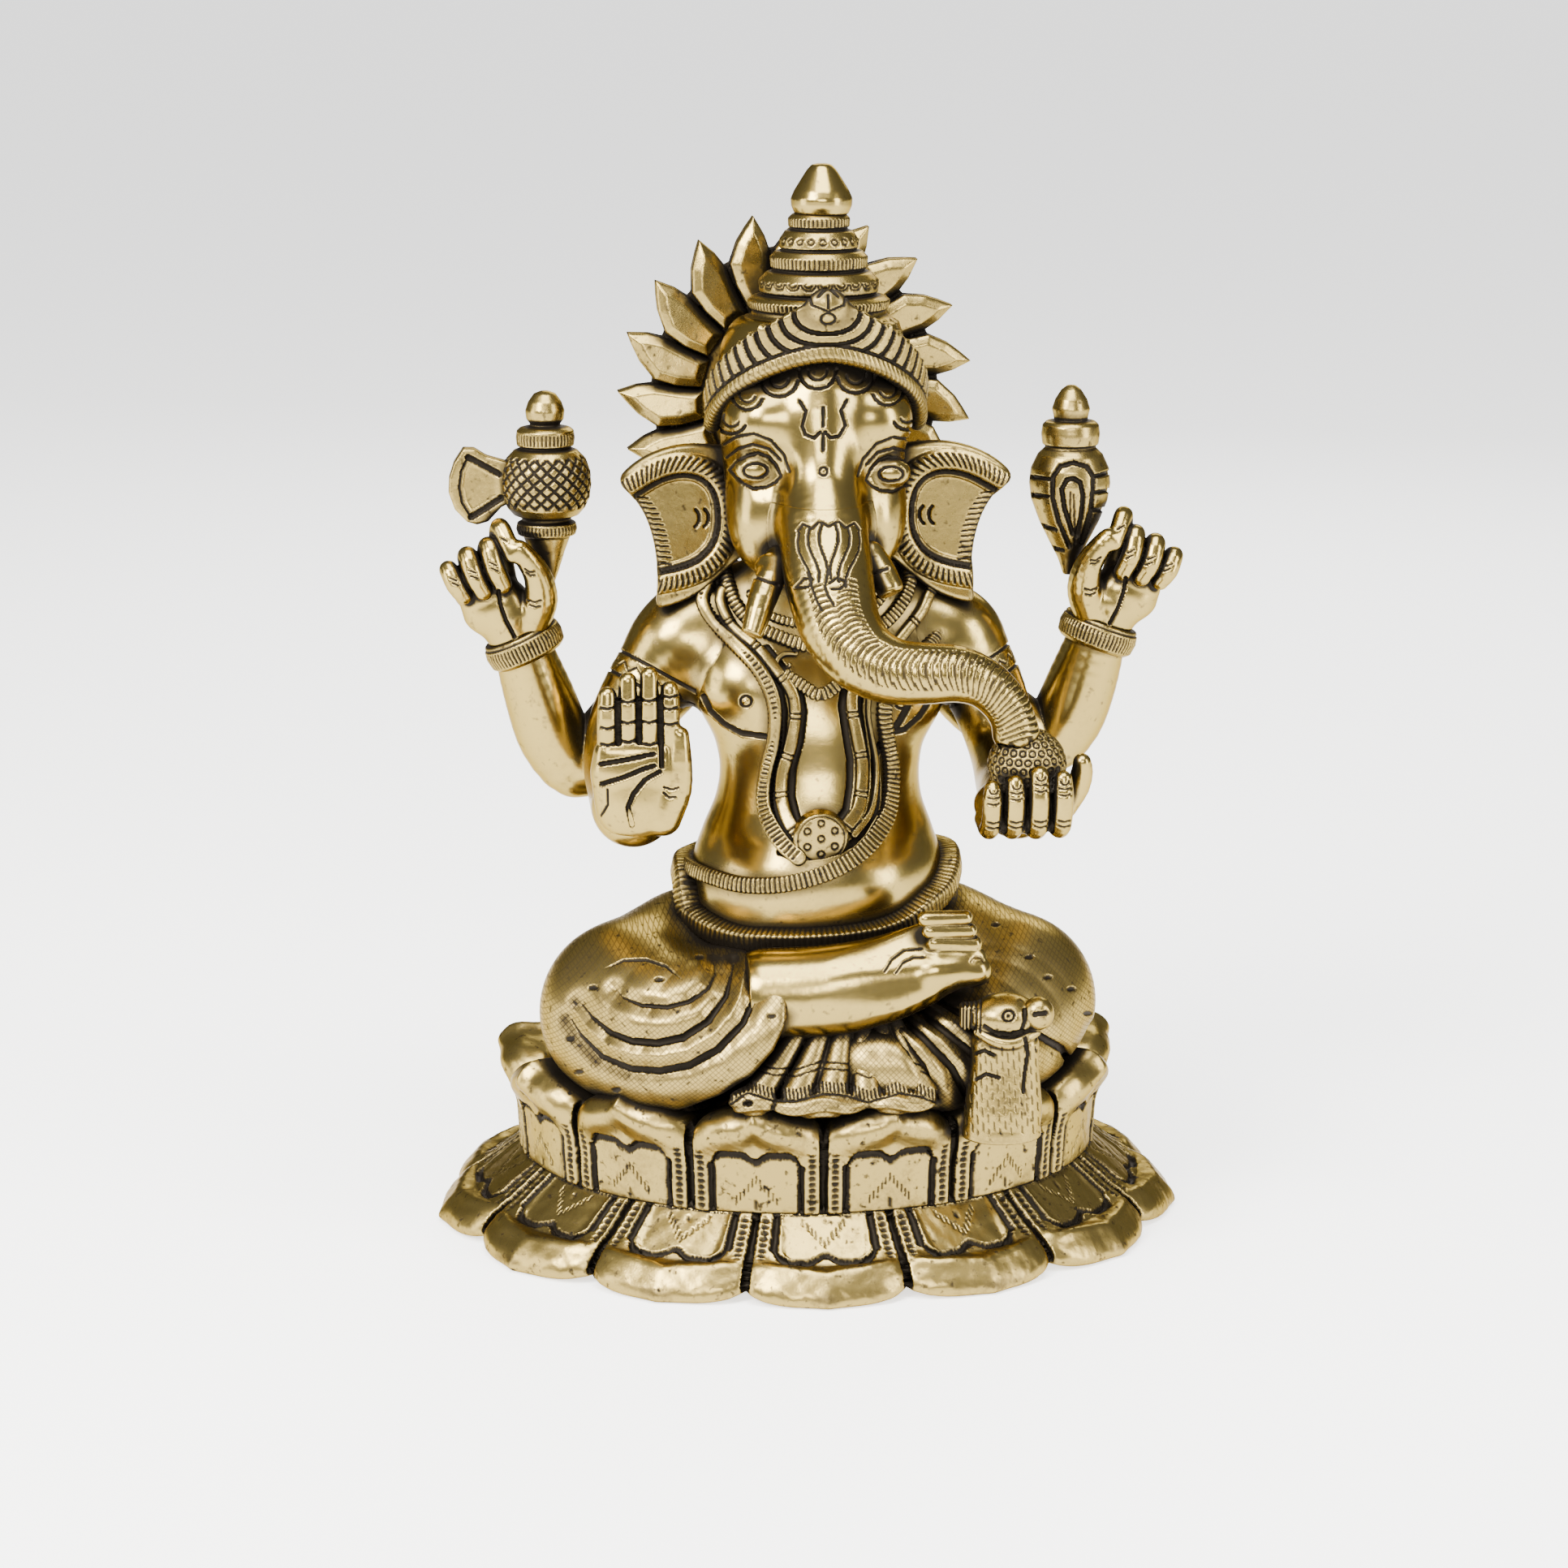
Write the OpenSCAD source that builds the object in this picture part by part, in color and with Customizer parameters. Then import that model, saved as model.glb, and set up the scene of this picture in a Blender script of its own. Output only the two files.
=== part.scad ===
// Seated elephant-headed deity on a double lotus, cast in brass in separate pieces that are
// pinned, screwed and brazed together. Millimetres, +Z up. The figure faces -Y, and the origin
// is the centre of the base on the surface that it stands on. Right and left are the figure's own:
// its right side is at -X.

/* [Overall] */
// Height from the table to the tip of the finial
statue_h = 254; // [228:1:280]
// Wall thickness of the hollow castings
wall = 4; // [3:0.5:6]

/* [Lotus base] */
// Full width over the lower petals
base_w = 184; // [174:1:200]
// Full depth over the lower petals
base_d = 152; // [144:1:164]
// Height of the lower tier
lower_h = 17; // [14:1:22]
// Height of the upper tier, from its seam to the petal tips
upper_h = 28; // [24:1:32]
// Petals on the lower tier
lower_petals = 13; // [9:2:19]
// Petals on the upper tier
upper_petals = 13; // [9:2:19]

/* [Fasteners] */
// Radius of the tie bolt's thread
bolt_r = 3; // [2.5:0.5:4]
// Radial clearance of the tie bolt's holes
bolt_gap = 0.4; // [0.2:0.1:0.8]

/* [Halo] */
// Radius over the flame tips
halo_r = 42; // [38:1:46]
// Number of flames round the full circle
flames = 19; // [12:1:24]
// Thickness of the halo casting
halo_t = 6; // [4:0.5:8]

/* [Ornament] */
// How far belts and necklaces stand proud of the body
proud = 2.2; // [1.2:0.1:3]
// Sides of a limb's cross-section
limb_sides = 12; // [8:2:16]
// Sides of the torso's, head's and thighs' cross-sections
body_sides = 24; // [16:4:32]

/* [Hidden] */

$fn = 64;
base_k = base_d / base_w;                 // how oval the lotus is
nominal_h = 254;
nominal_seat = 38;
seat_z = lower_h + upper_h - 7;           // top face of the upper tier's web
fig = (statue_h - seat_z) / (nominal_h - nominal_seat);   // figure size against its nominal size
hole_r = bolt_r + bolt_gap;
brass = [0.80, 0.64, 0.34];
pale_brass = [0.88, 0.74, 0.46];
screw_steel = [0.62, 0.62, 0.64];

// ---------------------------------------------------------------- helpers

function unit(v) = v / norm(v);

// A closed ring of n points round centre c, in the plane of two directions.
function ring(c, side, up, rs, ru, n) =
    [for (i = [0:n - 1]) c + rs * cos(360 * i / n) * side + ru * sin(360 * i / n) * up];

// A horizontal oval section: [z, centre x, centre y, half width, half depth].
function section(s, grow, n) =
    ring([s[1], s[2], s[0]], [1, 0, 0], [0, 1, 0], s[3] + grow, s[4] + grow, n);

// A closed solid through a list of rings that all have the same number of points.
module skin(rings) {
    n = len(rings[0]);
    m = len(rings);
    polyhedron(
        points = [for (r = rings) each r],
        faces = concat(
            [[for (i = [0:n - 1]) i]],
            [for (j = [0:m - 2], i = [0:n - 1]) [j * n + i, (j + 1) * n + i, (j + 1) * n + (i + 1) % n]],
            [for (j = [0:m - 2], i = [0:n - 1]) [j * n + i, (j + 1) * n + (i + 1) % n, j * n + (i + 1) % n]],
            [[for (i = [n - 1:-1:0]) (m - 1) * n + i]]));
}

// A body of stacked oval sections.
module stack(sections, grow = 0, n = body_sides) {
    skin([for (s = sections) section(s, grow, n)]);
}

// The direction of a path at point i.
function heading(path, i) =
    unit(path[min(i + 1, len(path) - 1)] - path[max(i - 1, 0)]);

// A round-ended limb along a path, with a radius at each point; flat squeezes it along up.
module limb(path, r, n = limb_sides, flat = 1, up = [0, 0, 1], domes = [35, 65]) {
    last = len(path) - 1;
    t0 = heading(path, 0);
    t1 = heading(path, last);
    stations = concat(
        [for (a = domes) [path[0] - t0 * r[0] * cos(a), t0, r[0] * sin(a)]],
        [for (i = [0:last]) [path[i], heading(path, i), r[i]]],
        [for (k = [len(domes) - 1:-1:0]) [path[last] + t1 * r[last] * cos(domes[k]), t1, r[last] * sin(domes[k])]]);
    skin([for (s = stations)
        let (side = unit(cross(s[1], up)), top = cross(s[1], side))
        ring(s[0], side, top, s[2], s[2] * flat, n)]);
}

// An egg of three half axes, turned about Z.
module egg(c, half, n = body_sides, turn = 0) {
    translate(c) rotate([0, 0, turn])
        skin([for (a = [-78:26:78]) ring([0, 0, half[2] * sin(a)], [1, 0, 0], [0, 1, 0],
            half[0] * cos(a), half[1] * cos(a), n)]);
}

// Joins the pieces of one casting under one skin.
module casting() {
    resize([0, 0, 0]) union() children();
}

// Places the figure's own coordinates, drawn at the nominal size, on the seat.
module on_seat() {
    translate([0, 0, seat_z]) scale(fig) translate([0, 0, -nominal_seat]) children();
}

// ---------------------------------------------------------------- lotus base

// Angles run from the front. This one spaces the petals evenly along the oval's edge.
arc_shift = 90 / PI * (1 - base_k * base_k) / (2 + 2 * base_k * base_k);
function along_edge(a) = a - arc_shift * sin(2 * a);

// How far along a petal an angle is: 1 on its midline and 0 at the seams.
function petal(a, count, shift) = pow(abs(cos((a + shift) * count / 2)), 0.55);

// The front has a petal and the back has a seam, so the outline sits back by half of the
// difference to lie evenly about the origin.
outline_back = 0.65;

// One level of a lobed tier: [half width, height, lobe in radius, lobe in height].
function lobed_level(l, count, shift, n) =
    [for (i = [0:n - 1])
        let (a = 360 * i / n, p = petal(a, count, shift), t = along_edge(a))
        [(l[0] + l[2] * p) * sin(t), outline_back - (l[0] * base_k + l[2] * p) * cos(t), l[1] + l[3] * p]];

module lobed_tier(levels, count, shift) {
    n = count * 8;
    skin([for (l = levels) lobed_level(l, count, shift, n)]);
}

module lotus_lower_tier() {
    tip = base_w / 2;
    lobe = 6;
    color(brass) difference() {
        lobed_tier([
            [8, lower_h - wall, 0, 0],
            [tip - 24, lower_h - wall, 0, 0],
            [tip - lobe - wall - 4, 1, 0, 0],
            [tip - lobe - wall - 4, 0, 0, 0],
            [tip - lobe, 0, lobe, 0],
            [tip - lobe - 0.4, 3.5, lobe, 1.5],
            [tip - lobe - 8, 7, lobe / 2, 2.5],
            [tip - 19.5, lower_h, 0, 0],
            [8, lower_h, 0, 0]
        ], lower_petals, 0);
        cylinder(r = hole_r, h = 3 * lower_h, center = true);
    }
}

module upper_tier_solid() {
    foot = base_w / 2 - 19.5;
    tip_z = lower_h + upper_h;
    lobed_tier([
        [8, seat_z - wall, 0, 0],
        [foot - wall - 4, seat_z - wall, 0, 0],
        [foot - wall - 3, lower_h, 0, 0],
        [foot, lower_h, 0, 0],
        [foot + 0.5, lower_h + upper_h / 2, 1.2, 0],
        [foot + 1.5, tip_z - 7, 2.5, 3],
        [foot - 0.5, tip_z - 5, 2, 5],
        [foot - 6, tip_z - 6, 1, 4],
        [foot - 9, seat_z, 0, 0],
        [8, seat_z, 0, 0]
    ], upper_petals, 180 / upper_petals);
}

module lotus_upper_tier() {
    color(brass) difference() {
        upper_tier_solid();
        cylinder(r = hole_r, h = 3 * seat_z, center = true);
    }
}

// ---------------------------------------------------------------- tie bolt

head_t = 4;                               // height of the bolt's head
washer_t = 1.6;
bolt_head_z = lower_h - wall - washer_t;  // underside of the web, less the washer

module tie_bolt() {
    color(screw_steel) union() {
        translate([0, 0, bolt_head_z - head_t]) cylinder(r = bolt_r * 1.92, h = head_t, $fn = 6);
        translate([0, 0, bolt_head_z - 0.5]) cylinder(r = bolt_r, h = seat_z + 16 - bolt_head_z);
    }
}

module tie_washer() {
    color(screw_steel) translate([0, 0, bolt_head_z]) difference() {
        cylinder(r = bolt_r * 3, h = washer_t);
        translate([0, 0, -1]) cylinder(r = hole_r, h = washer_t + 2);
    }
}

// ---------------------------------------------------------------- torso

torso_sections = [
    [38, 0, -4, 24, 20], [52, 0, -7, 27, 23], [66, 0, -9, 29, 25], [80, 0.5, -11, 31, 27],
    [92, 1, -12, 30.5, 27.5], [104, 1.5, -10, 26.5, 24], [114, 2, -8, 24.5, 21],
    [124, 2, -6, 26.5, 20], [134, 2, -4, 31, 19.5], [143, 2, -3, 33, 17.5],
    [150, 2, -3, 28, 15], [156, 1.5, -4, 20, 13], [162, 1, -5, 15, 12]
];

module torso_body(grow = 0) stack(torso_sections, grow);

// The core that leaves the casting hollow. It opens at the neck, which the head's spigot closes.
module torso_core() {
    stack([for (s = torso_sections) if (s[0] > 60)
        [s[0] > 160 ? s[0] + 1 : s[0], s[1], s[2], s[3] - wall - 1, s[4] - wall - 1]]);
}

module torso() {
    color(pale_brass) difference() {
        on_seat() casting() difference() {
            torso_body();
            torso_core();
        }
        translate([0, 0, seat_z - 1]) cylinder(r = bolt_r + 0.05, h = 18);
    }
}

// ---------------------------------------------------------------- legs and dhoti

module right_thigh(grow = 0) {
    limb([[-18, 6, 58], [-34, -6, 58], [-42, -24, 57]], [17 + grow, 20 + grow, 20 + grow], 20);
    limb([[-42, -24, 57], [-26, -42, 55], [-8, -46, 57]], [20 + grow, 16 + grow, 11 + grow], 20);
}

module left_thigh(grow = 0) {
    limb([[18, 6, 58], [36, -6, 58], [46, -22, 57]], [17 + grow, 20 + grow, 19 + grow], 20);
    limb([[46, -22, 57], [34, -42, 52], [12, -48, 50]], [19 + grow, 14 + grow, 11 + grow], 20);
}

module right_leg() {
    color(brass) casting() difference() {
        on_seat() difference() {
            right_thigh();
            torso_body();
        }
        upper_tier_solid();
    }
}

module left_leg() {
    color(brass) casting() difference() {
        on_seat() difference() {
            left_thigh();
            torso_body();
            right_thigh();
        }
        upper_tier_solid();
    }
}

module foot_shape() {
    limb([[-2, -50, 67], [8, -52, 68], [22, -51, 70], [30, -49, 73]], [9, 8.5, 7.5, 7]);
    for (i = [0:4])
        limb([[33 + 0.5 * i, -47, 71 + 3.8 * i], [36 - 1.6 * i, -53, 70 + 3.9 * i]], [2.6 - 0.15 * i, 2.1 - 0.1 * i], 8);
    limb([[30, -48, 74], [30, -47, 84]], [6, 5], up = [0, 1, 0]);
}

module right_foot() {
    color(pale_brass) on_seat() casting() difference() {
        foot_shape();
        right_thigh();
        left_thigh();
        torso_body(proud);
    }
}

module dhoti_pleats() {
    color(brass) casting() difference() {
        on_seat() difference() {
            for (i = [0:5])
                limb([[6 + i, -52, 58], [-4 + 5 * i, -57, 52], [-14 + 9 * i, -57, 46.5]], [3, 4, 5], 10);
            right_thigh();
            left_thigh();
            foot_shape();
            torso_body();
        }
        upper_tier_solid();
    }
}

// ---------------------------------------------------------------- ornaments on the body

// A slab that dips to the front, used to cut a band out of a grown body.
module tilted_slab(z, h, tip, roll = 0) {
    translate([0, 0, z]) rotate([tip, roll, 0]) translate([-90, -90, -h / 2]) cube([180, 180, h]);
}

module body_band(z, h, tip, roll = 0) {
    difference() {
        intersection() {
            torso_body(proud);
            tilted_slab(z, h, tip, roll);
        }
        torso_body();
    }
}

module waist_belt() {
    color(brass) on_seat() casting() difference() {
        body_band(87, 7, 12);
        right_thigh();
        left_thigh();
    }
}

module waist_cord() {
    color(brass) on_seat() casting() body_band(101, 6, 12, -8);
}

// A point on the front of the torso, at a given x and height.
function torso_at(column, z) = lookup(z, [for (s = torso_sections) [s[0], s[column]]]);

function chest(x, z) =
    let (t = (x - torso_at(1, z)) / torso_at(3, z))
    [x, torso_at(2, z) - torso_at(4, z) * sqrt(1 - t * t), z];

// One strand of the garland, from a shoulder down to the medallion.
module strand(stops) {
    limb([for (p = stops) chest(p[0], p[1])], [for (p = stops) 2.6], 10);
}

module garland() {
    color(brass) on_seat() casting() difference() {
        union() {
            strand([[-17, 150], [-20, 140], [-18, 127], [-13, 116], [-7, 108]]);
            strand([[19, 150], [23, 140], [20, 127], [13, 116], [5, 108]]);
        }
        torso_body();
        body_band(101, 6, 12, -8);
        medallion_disc();
        neck_band(0.2);
    }
}

module medallion_disc() {
    translate([-1, -31, 103]) rotate([98, 0, 0]) cylinder(r = 9, h = 9);
}

module chest_medallion() {
    color(pale_brass) on_seat() casting() difference() {
        medallion_disc();
        body_band(101, 6, 12, -8);
        torso_body();
    }
}

// The collar follows the top of the chest, lowest at the front.
module neck_band(grow = 0) {
    intersection() {
        torso_body(proud + grow);
        translate([1, 0, 151]) rotate([28, 0, 0]) translate([-60, -60, -5 - grow]) cube([120, 120, 10 + 2 * grow]);
    }
}

module collar_necklace() {
    color(brass) on_seat() casting() difference() {
        neck_band();
        torso_body();
    }
}

// ---------------------------------------------------------------- head

head_sections = [
    [158, 0, -14, 10, 11], [164, 0, -15, 15.5, 15], [173, 0, -14, 19.5, 18], [183, 0, -13, 21.5, 20],
    [193, 0, -11, 22, 21], [203, 0, -8, 22, 21], [211, 0, -5, 21, 20], [217, 0, -4, 18, 18]
];

module head_body(grow = 0) stack(head_sections, grow);

module head() {
    color(pale_brass) on_seat() difference() {
        casting() difference() {
            union() {
                difference() {
                    head_body();
                    torso_body();
                    neck_band();
                }
                // Spigot in the torso's neck opening.
                translate([0.5, -5, 152]) linear_extrude(16) scale([1.15, 1]) circle(r = 6.5, $fn = 24);
            }
            stack([for (s = head_sections) if (s[0] > 172)
                [s[0] > 216 ? s[0] + 1 : s[0], s[1], s[2] + 1, s[3] - wall - 2, s[4] - wall - 3]]);
        }
        translate([halo_c[0], 30, halo_c[2]]) rotate([90, 0, 0]) cylinder(r = screw_r + 0.05, h = 28);
    }
}

trunk_path = [
    [0, -27, 182], [0, -32, 174], [1, -37, 165], [3, -43, 156], [8, -50, 148.5],
    [16, -55, 145], [26, -58, 145.5], [34, -58, 143], [39.5, -57, 137], [42, -56, 131]
];
trunk_r = [7, 7.8, 8.4, 8.4, 8, 7.4, 6.4, 5.6, 5, 4.6];

module trunk_shape() limb(trunk_path, trunk_r, 16, up = [1, 0, 0.2]);

module trunk() {
    color(pale_brass) on_seat() casting() difference() {
        trunk_shape();
        head_body();
        torso_body(proud);
        sweet_shape();
    }
}

// Half outline of an ear, its root at x = 0 and its flared tips outward.
ear_outline = concat(
    [for (a = [0:15:90]) [2 + 16 * sin(a), 10 + 12 * cos(a)]],
    [[27, 12]],
    [for (a = [40:-10:-40]) [26 - 8 * cos(a), 14 * sin(a) - 4]],
    [[15, -20]],
    [for (a = [0:15:90]) [2 + 11 * cos(a), -8 - 14 * sin(a)]]
);

module ear() {
    rotate([90, 0, 0]) linear_extrude(5, center = true) polygon(ear_outline);
}

module left_ear_shape() {
    translate([18, -8, 172]) rotate([0, 0, 10]) ear();
}

module right_ear_shape() {
    mirror([1, 0, 0]) left_ear_shape();
}

module right_ear() {
    color(brass) on_seat() casting() difference() {
        right_ear_shape();
        head_body();
        torso_body(proud);
    }
}

module left_ear() {
    color(brass) on_seat() casting() difference() {
        left_ear_shape();
        head_body();
        torso_body(proud);
    }
}

module right_tusk() {
    color(pale_brass) on_seat() casting() difference() {
        limb([[-9, -32, 172], [-11, -40, 163], [-16.5, -46, 151]], [3.4, 3.6, 2.2], 10);
        head_body();
        trunk_shape();
        torso_body(proud);
    }
}

module left_tusk() {
    color(pale_brass) on_seat() casting() difference() {
        limb([[9, -32, 172], [11, -38, 165], [15, -42, 160]], [3.4, 3.6, 3.2], 10);
        head_body();
        trunk_shape();
        torso_body(proud);
    }
}

// ---------------------------------------------------------------- crown and halo

// The crown stands a little to the figure's left of the head's midline.
crown_x = 2;
crown_y = -4;

module crown_tower() {
    color(brass) on_seat() translate([crown_x, crown_y, 0]) rotate_extrude() polygon([
        [0, 217], [16, 217], [21, 214], [21.5, 219], [17, 221], [16.5, 224], [14.5, 224.5], [14.5, 228.4],
        [11, 228.8], [11, 233.2], [9, 233.6], [8.8, 239], [7.2, 239.4], [7.2, 243.8], [0, 243.8]
    ]);
}

module crown_finial() {
    color(pale_brass) on_seat() translate([crown_x, crown_y, 0]) rotate_extrude() polygon([
        [0, 243.8], [5.8, 243.8], [6.6, 244.6], [7.3, 246.6], [6.6, 249], [5, 252], [3.4, 254], [0, 254]
    ]);
}

// The diadem follows the brow: low over the ears and high over the face.
module crown_diadem() {
    color(brass) on_seat() casting() difference() {
        intersection() {
            head_body(5.5);
            translate([0, -14, 204]) rotate([-38, 0, 0]) translate([-40, -40, -9]) cube([80, 44, 18]);
        }
        head_body();
        translate([crown_x, crown_y, 213]) cylinder(r = 22, h = 20);
        left_ear_shape();
        right_ear_shape();
    }
}

// One flame, its root on the ring and its tip swept clockwise as seen from the front.
flame_root = 27;
module flame() {
    root_w = 5.2;
    polygon([
        [flame_root - 5, -root_w], [flame_root + 4, -root_w - 0.6], [flame_root + 9, -root_w + 0.4],
        [halo_r, -3], [flame_root + 11, 3.4], [flame_root + 6, root_w - 0.6], [flame_root - 5, root_w - 0.6]
    ]);
}

halo_c = [-1, 15, 199];
flame_first = 199;                        // direction of the first flame, seen from the front

screw_r = 2;
screw_len = 12;

module flame_halo() {
    color(brass) on_seat() difference() {
        casting() difference() {
            translate(halo_c) rotate([90, 0, 0]) linear_extrude(halo_t, center = true) union() {
                circle(r = flame_root);
                for (i = [0:flames - 1]) rotate(flame_first + 360 / flames * i) flame();
            }
            head_body();
        }
        translate([halo_c[0], 30, halo_c[2]]) rotate([90, 0, 0]) cylinder(r = screw_r + 0.3, h = 30);
    }
}

module halo_screw() {
    head_h = 2.5;
    color(screw_steel) on_seat() translate([halo_c[0], halo_c[1] + halo_t / 2, halo_c[2]])
        rotate([90, 0, 0]) union() {
            translate([0, 0, -head_h]) cylinder(r = 2 * screw_r, h = head_h);
            translate([0, 0, -0.5]) cylinder(r = screw_r, h = screw_len + 0.5);
        }
}

// ---------------------------------------------------------------- arms and hands

module front_right_arm_shape()
    limb([[-30, -2, 142], [-40, -3, 132], [-46, -10, 117], [-45, -26, 109], [-44, -38, 107]], [10.5, 9, 8, 7.4, 7]);

module front_left_arm_shape()
    limb([[33, -2, 142], [42, -3, 130], [46, -10, 117], [45, -26, 111], [44, -38, 111]], [10.5, 9, 8, 7.4, 7]);

module rear_right_arm_shape()
    limb([[-30, 6, 140], [-42, 8, 124], [-55, 8, 110], [-62, 6, 124], [-67, 5, 137]], [9, 8.5, 8, 7.4, 6.6],
        up = [0, 1, 0]);

module rear_left_arm_shape()
    limb([[33, 6, 140], [46, 8, 124], [60, 8, 111], [66, 6, 124], [71, 5, 137]], [9, 8.5, 8, 7.4, 6.6],
        up = [0, 1, 0]);

module front_right_arm() {
    color(pale_brass) on_seat() casting() difference() {
        front_right_arm_shape();
        torso_body();
        right_palm();
    }
}

module front_left_arm() {
    color(pale_brass) on_seat() casting() difference() {
        front_left_arm_shape();
        torso_body();
        left_palm();
    }
}

module rear_right_arm() {
    color(pale_brass) on_seat() casting() difference() {
        rear_right_arm_shape();
        torso_body();
        front_right_arm_shape();
    }
}

module rear_left_arm() {
    color(pale_brass) on_seat() casting() difference() {
        rear_left_arm_shape();
        torso_body();
        front_left_arm_shape();
    }
}

// Raised palm of blessing: palm to the front, four fingers up, the thumb at the inner side.
module right_palm() {
    limb([[-44, -46, 108], [-44, -48, 116], [-44, -49, 125]], [9.5, 11.5, 10], 12, 0.5, up = [0, 1, 0]);
    for (i = [0:3])
        limb([[-51.5 + 5 * i, -49, 127], [-51.5 + 5 * i, -48, 141 + 4 * sin(50 * i)]], [2.6, 2.2], 8, up = [0, 1, 0]);
    limb([[-37, -48, 112], [-33, -48, 119], [-32.5, -49, 129]], [3.6, 3, 2.3], 8, up = [0, 1, 0]);
}

module front_right_hand() {
    color(pale_brass) on_seat() casting() right_palm();
}

// Cupped palm that holds the sweet, its fingers hanging over the front edge.
module left_palm() {
    limb([[44, -42, 113], [44, -50, 113], [44, -57, 112]], [9, 11, 10], 12, 0.55);
    for (i = [0:3])
        limb([[36.5 + 5.2 * i, -60, 117], [36.5 + 5.2 * i, -65, 112], [36.5 + 5.2 * i, -65, 105]], [2.5, 2.7, 2.3], 8,
            up = [0, 1, 0]);
    limb([[54, -50, 112], [57.5, -54, 117]], [3, 2.4], 8);
}

module front_left_hand() {
    color(pale_brass) on_seat() casting() left_palm();
}

module sweet_shape() {
    egg([44.2, -54.3, 123.3], [9, 9, 8], 24, 7);
}

module modak_sweet() {
    color(brass) on_seat() casting() difference() {
        sweet_shape();
        left_palm();
    }
}

// A bracelet round a rear wrist: centre, lean and reach.
module bracelet(side) {
    translate([side * (side < 0 ? 67.5 : 71.5), 5, 138.5]) rotate([0, side * 20, 0]) difference() {
        cylinder(r = 8.6, h = 6, center = true);
        cylinder(r = 6.4, h = 7, center = true);
    }
}

module rear_right_bracelet() {
    color(brass) on_seat() casting() difference() {
        bracelet(-1);
        rear_right_arm_shape();
    }
}

module rear_left_bracelet() {
    color(brass) on_seat() casting() difference() {
        bracelet(1);
        rear_left_arm_shape();
    }
}

// A closed fist whose index finger and thumb pinch an emblem; x grows away from the body.
module fist() {
    limb([[0, 0, -8], [2, 0, 0], [2, 0, 7]], [7, 8, 7.5], 12, 0.7, up = [0, 1, 0]);
    for (i = [0:2])
        limb([[3 + 4 * i, -5, 8 - 3 * i], [5 + 4 * i, -8, 13 - 3 * i], [4 + 4 * i, -8, 7 - 3 * i]], [2.4, 2.4, 2],
            8, up = [1, 0, 0]);
    limb([[-5, -2, 0], [-6, -4, 8], [-5, -4, 15]], [3.4, 3, 2.3], 8, up = [0, 1, 0]);
    limb([[-1, -3, 9], [-3, -4, 19]], [2.7, 2.1], 8, up = [0, 1, 0]);
}

module rear_right_hand() {
    color(pale_brass) on_seat() casting() difference() {
        translate([-72, 4, 150]) mirror([1, 0, 0]) fist();
        rear_right_arm_shape();
        bracelet(-1);
        mace_shape();
    }
}

module rear_left_hand() {
    color(pale_brass) on_seat() casting() difference() {
        translate([75, 4, 150]) fist();
        rear_left_arm_shape();
        bracelet(1);
        bud_shape();
    }
}

// ---------------------------------------------------------------- emblems

module mace_shape() {
    translate([-62, 5, 0]) rotate_extrude() polygon([
        [0, 156], [3.2, 156], [5, 161], [6.5, 167], [8.6, 168], [8.6, 171.5], [9.6, 172.5], [11.2, 177],
        [11, 182], [9, 186.5], [6, 188.5], [6.6, 189], [6.6, 193.6], [3.6, 194.4], [4.6, 197],
        [3.4, 200.8], [0, 201.4]
    ]);
}

module mace_head() {
    color(brass) on_seat() mace_shape();
}

module axe_blade() {
    color(brass) on_seat() difference() {
        translate([-68, 5, 180]) rotate([90, 0, 0]) linear_extrude(5, center = true)
            polygon(concat([[0, -4], [0, 4], [-9, 9.5]],
                [for (a = [140:10:220]) [-2 + 15 * cos(a), 14 * sin(a)]], [[-9, -9.5]]));
        mace_shape();
    }
}

module bud_shape() {
    translate([63.5, 5, 0]) rotate_extrude() polygon([
        [0, 157], [2.4, 158], [5.5, 165], [8.6, 172], [9.8, 178], [9.6, 183], [7.6, 187.4], [5, 189],
        [6.4, 189.6], [6.6, 193.4], [5.2, 194.4], [3.2, 194.8], [4.4, 197], [3.2, 200.4], [0, 202]
    ]);
}

module lotus_bud() {
    color(brass) on_seat() bud_shape();
}

// The mouse stands on the tips of two upper petals.
module mouse() {
    petal_top = lower_h + upper_h - seat_z + nominal_seat;
    color(pale_brass) on_seat() casting() difference() {
        union() {
            limb([[38, -58, 44], [39.5, -58, 51], [40.5, -57, 58]], [9, 8, 6.4], 12, 0.8, up = [0, 1, 0]);
            egg([41.3, -57.4, 65.2], [6.7, 6.3, 5.3], 16, 5);
            limb([[44.2, -60.3, 65.1], [49.6, -61.4, 65.7]], [4.1, 2.6], 10, up = [0.1, 0.2, 1]);
        }
        left_thigh(0.3);
        translate([0, -80, petal_top - 20]) cube([80, 60, 20]);
    }
}

// ---------------------------------------------------------------- the assembly

lotus_lower_tier();
lotus_upper_tier();
tie_bolt();
tie_washer();
torso();
right_leg();
left_leg();
right_foot();
dhoti_pleats();
waist_belt();
waist_cord();
garland();
chest_medallion();
collar_necklace();
head();
trunk();
right_ear();
left_ear();
right_tusk();
left_tusk();
crown_diadem();
crown_tower();
crown_finial();
flame_halo();
halo_screw();
front_right_arm();
front_right_hand();
front_left_arm();
front_left_hand();
modak_sweet();
rear_right_arm();
rear_right_bracelet();
rear_right_hand();
axe_blade();
mace_head();
rear_left_arm();
rear_left_bracelet();
rear_left_hand();
lotus_bud();
mouse();
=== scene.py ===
"""A cast and chased brass statue of a seated elephant-headed deity on a double lotus.

Each casting is sculpted as a signed distance function in millimetres, meshed, refined where it
is chased, and carved along its normals. Its black wax and a painted shade of its recesses are
vertex attributes that the brass reads.
"""
import math
from concurrent.futures import ThreadPoolExecutor

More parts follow.
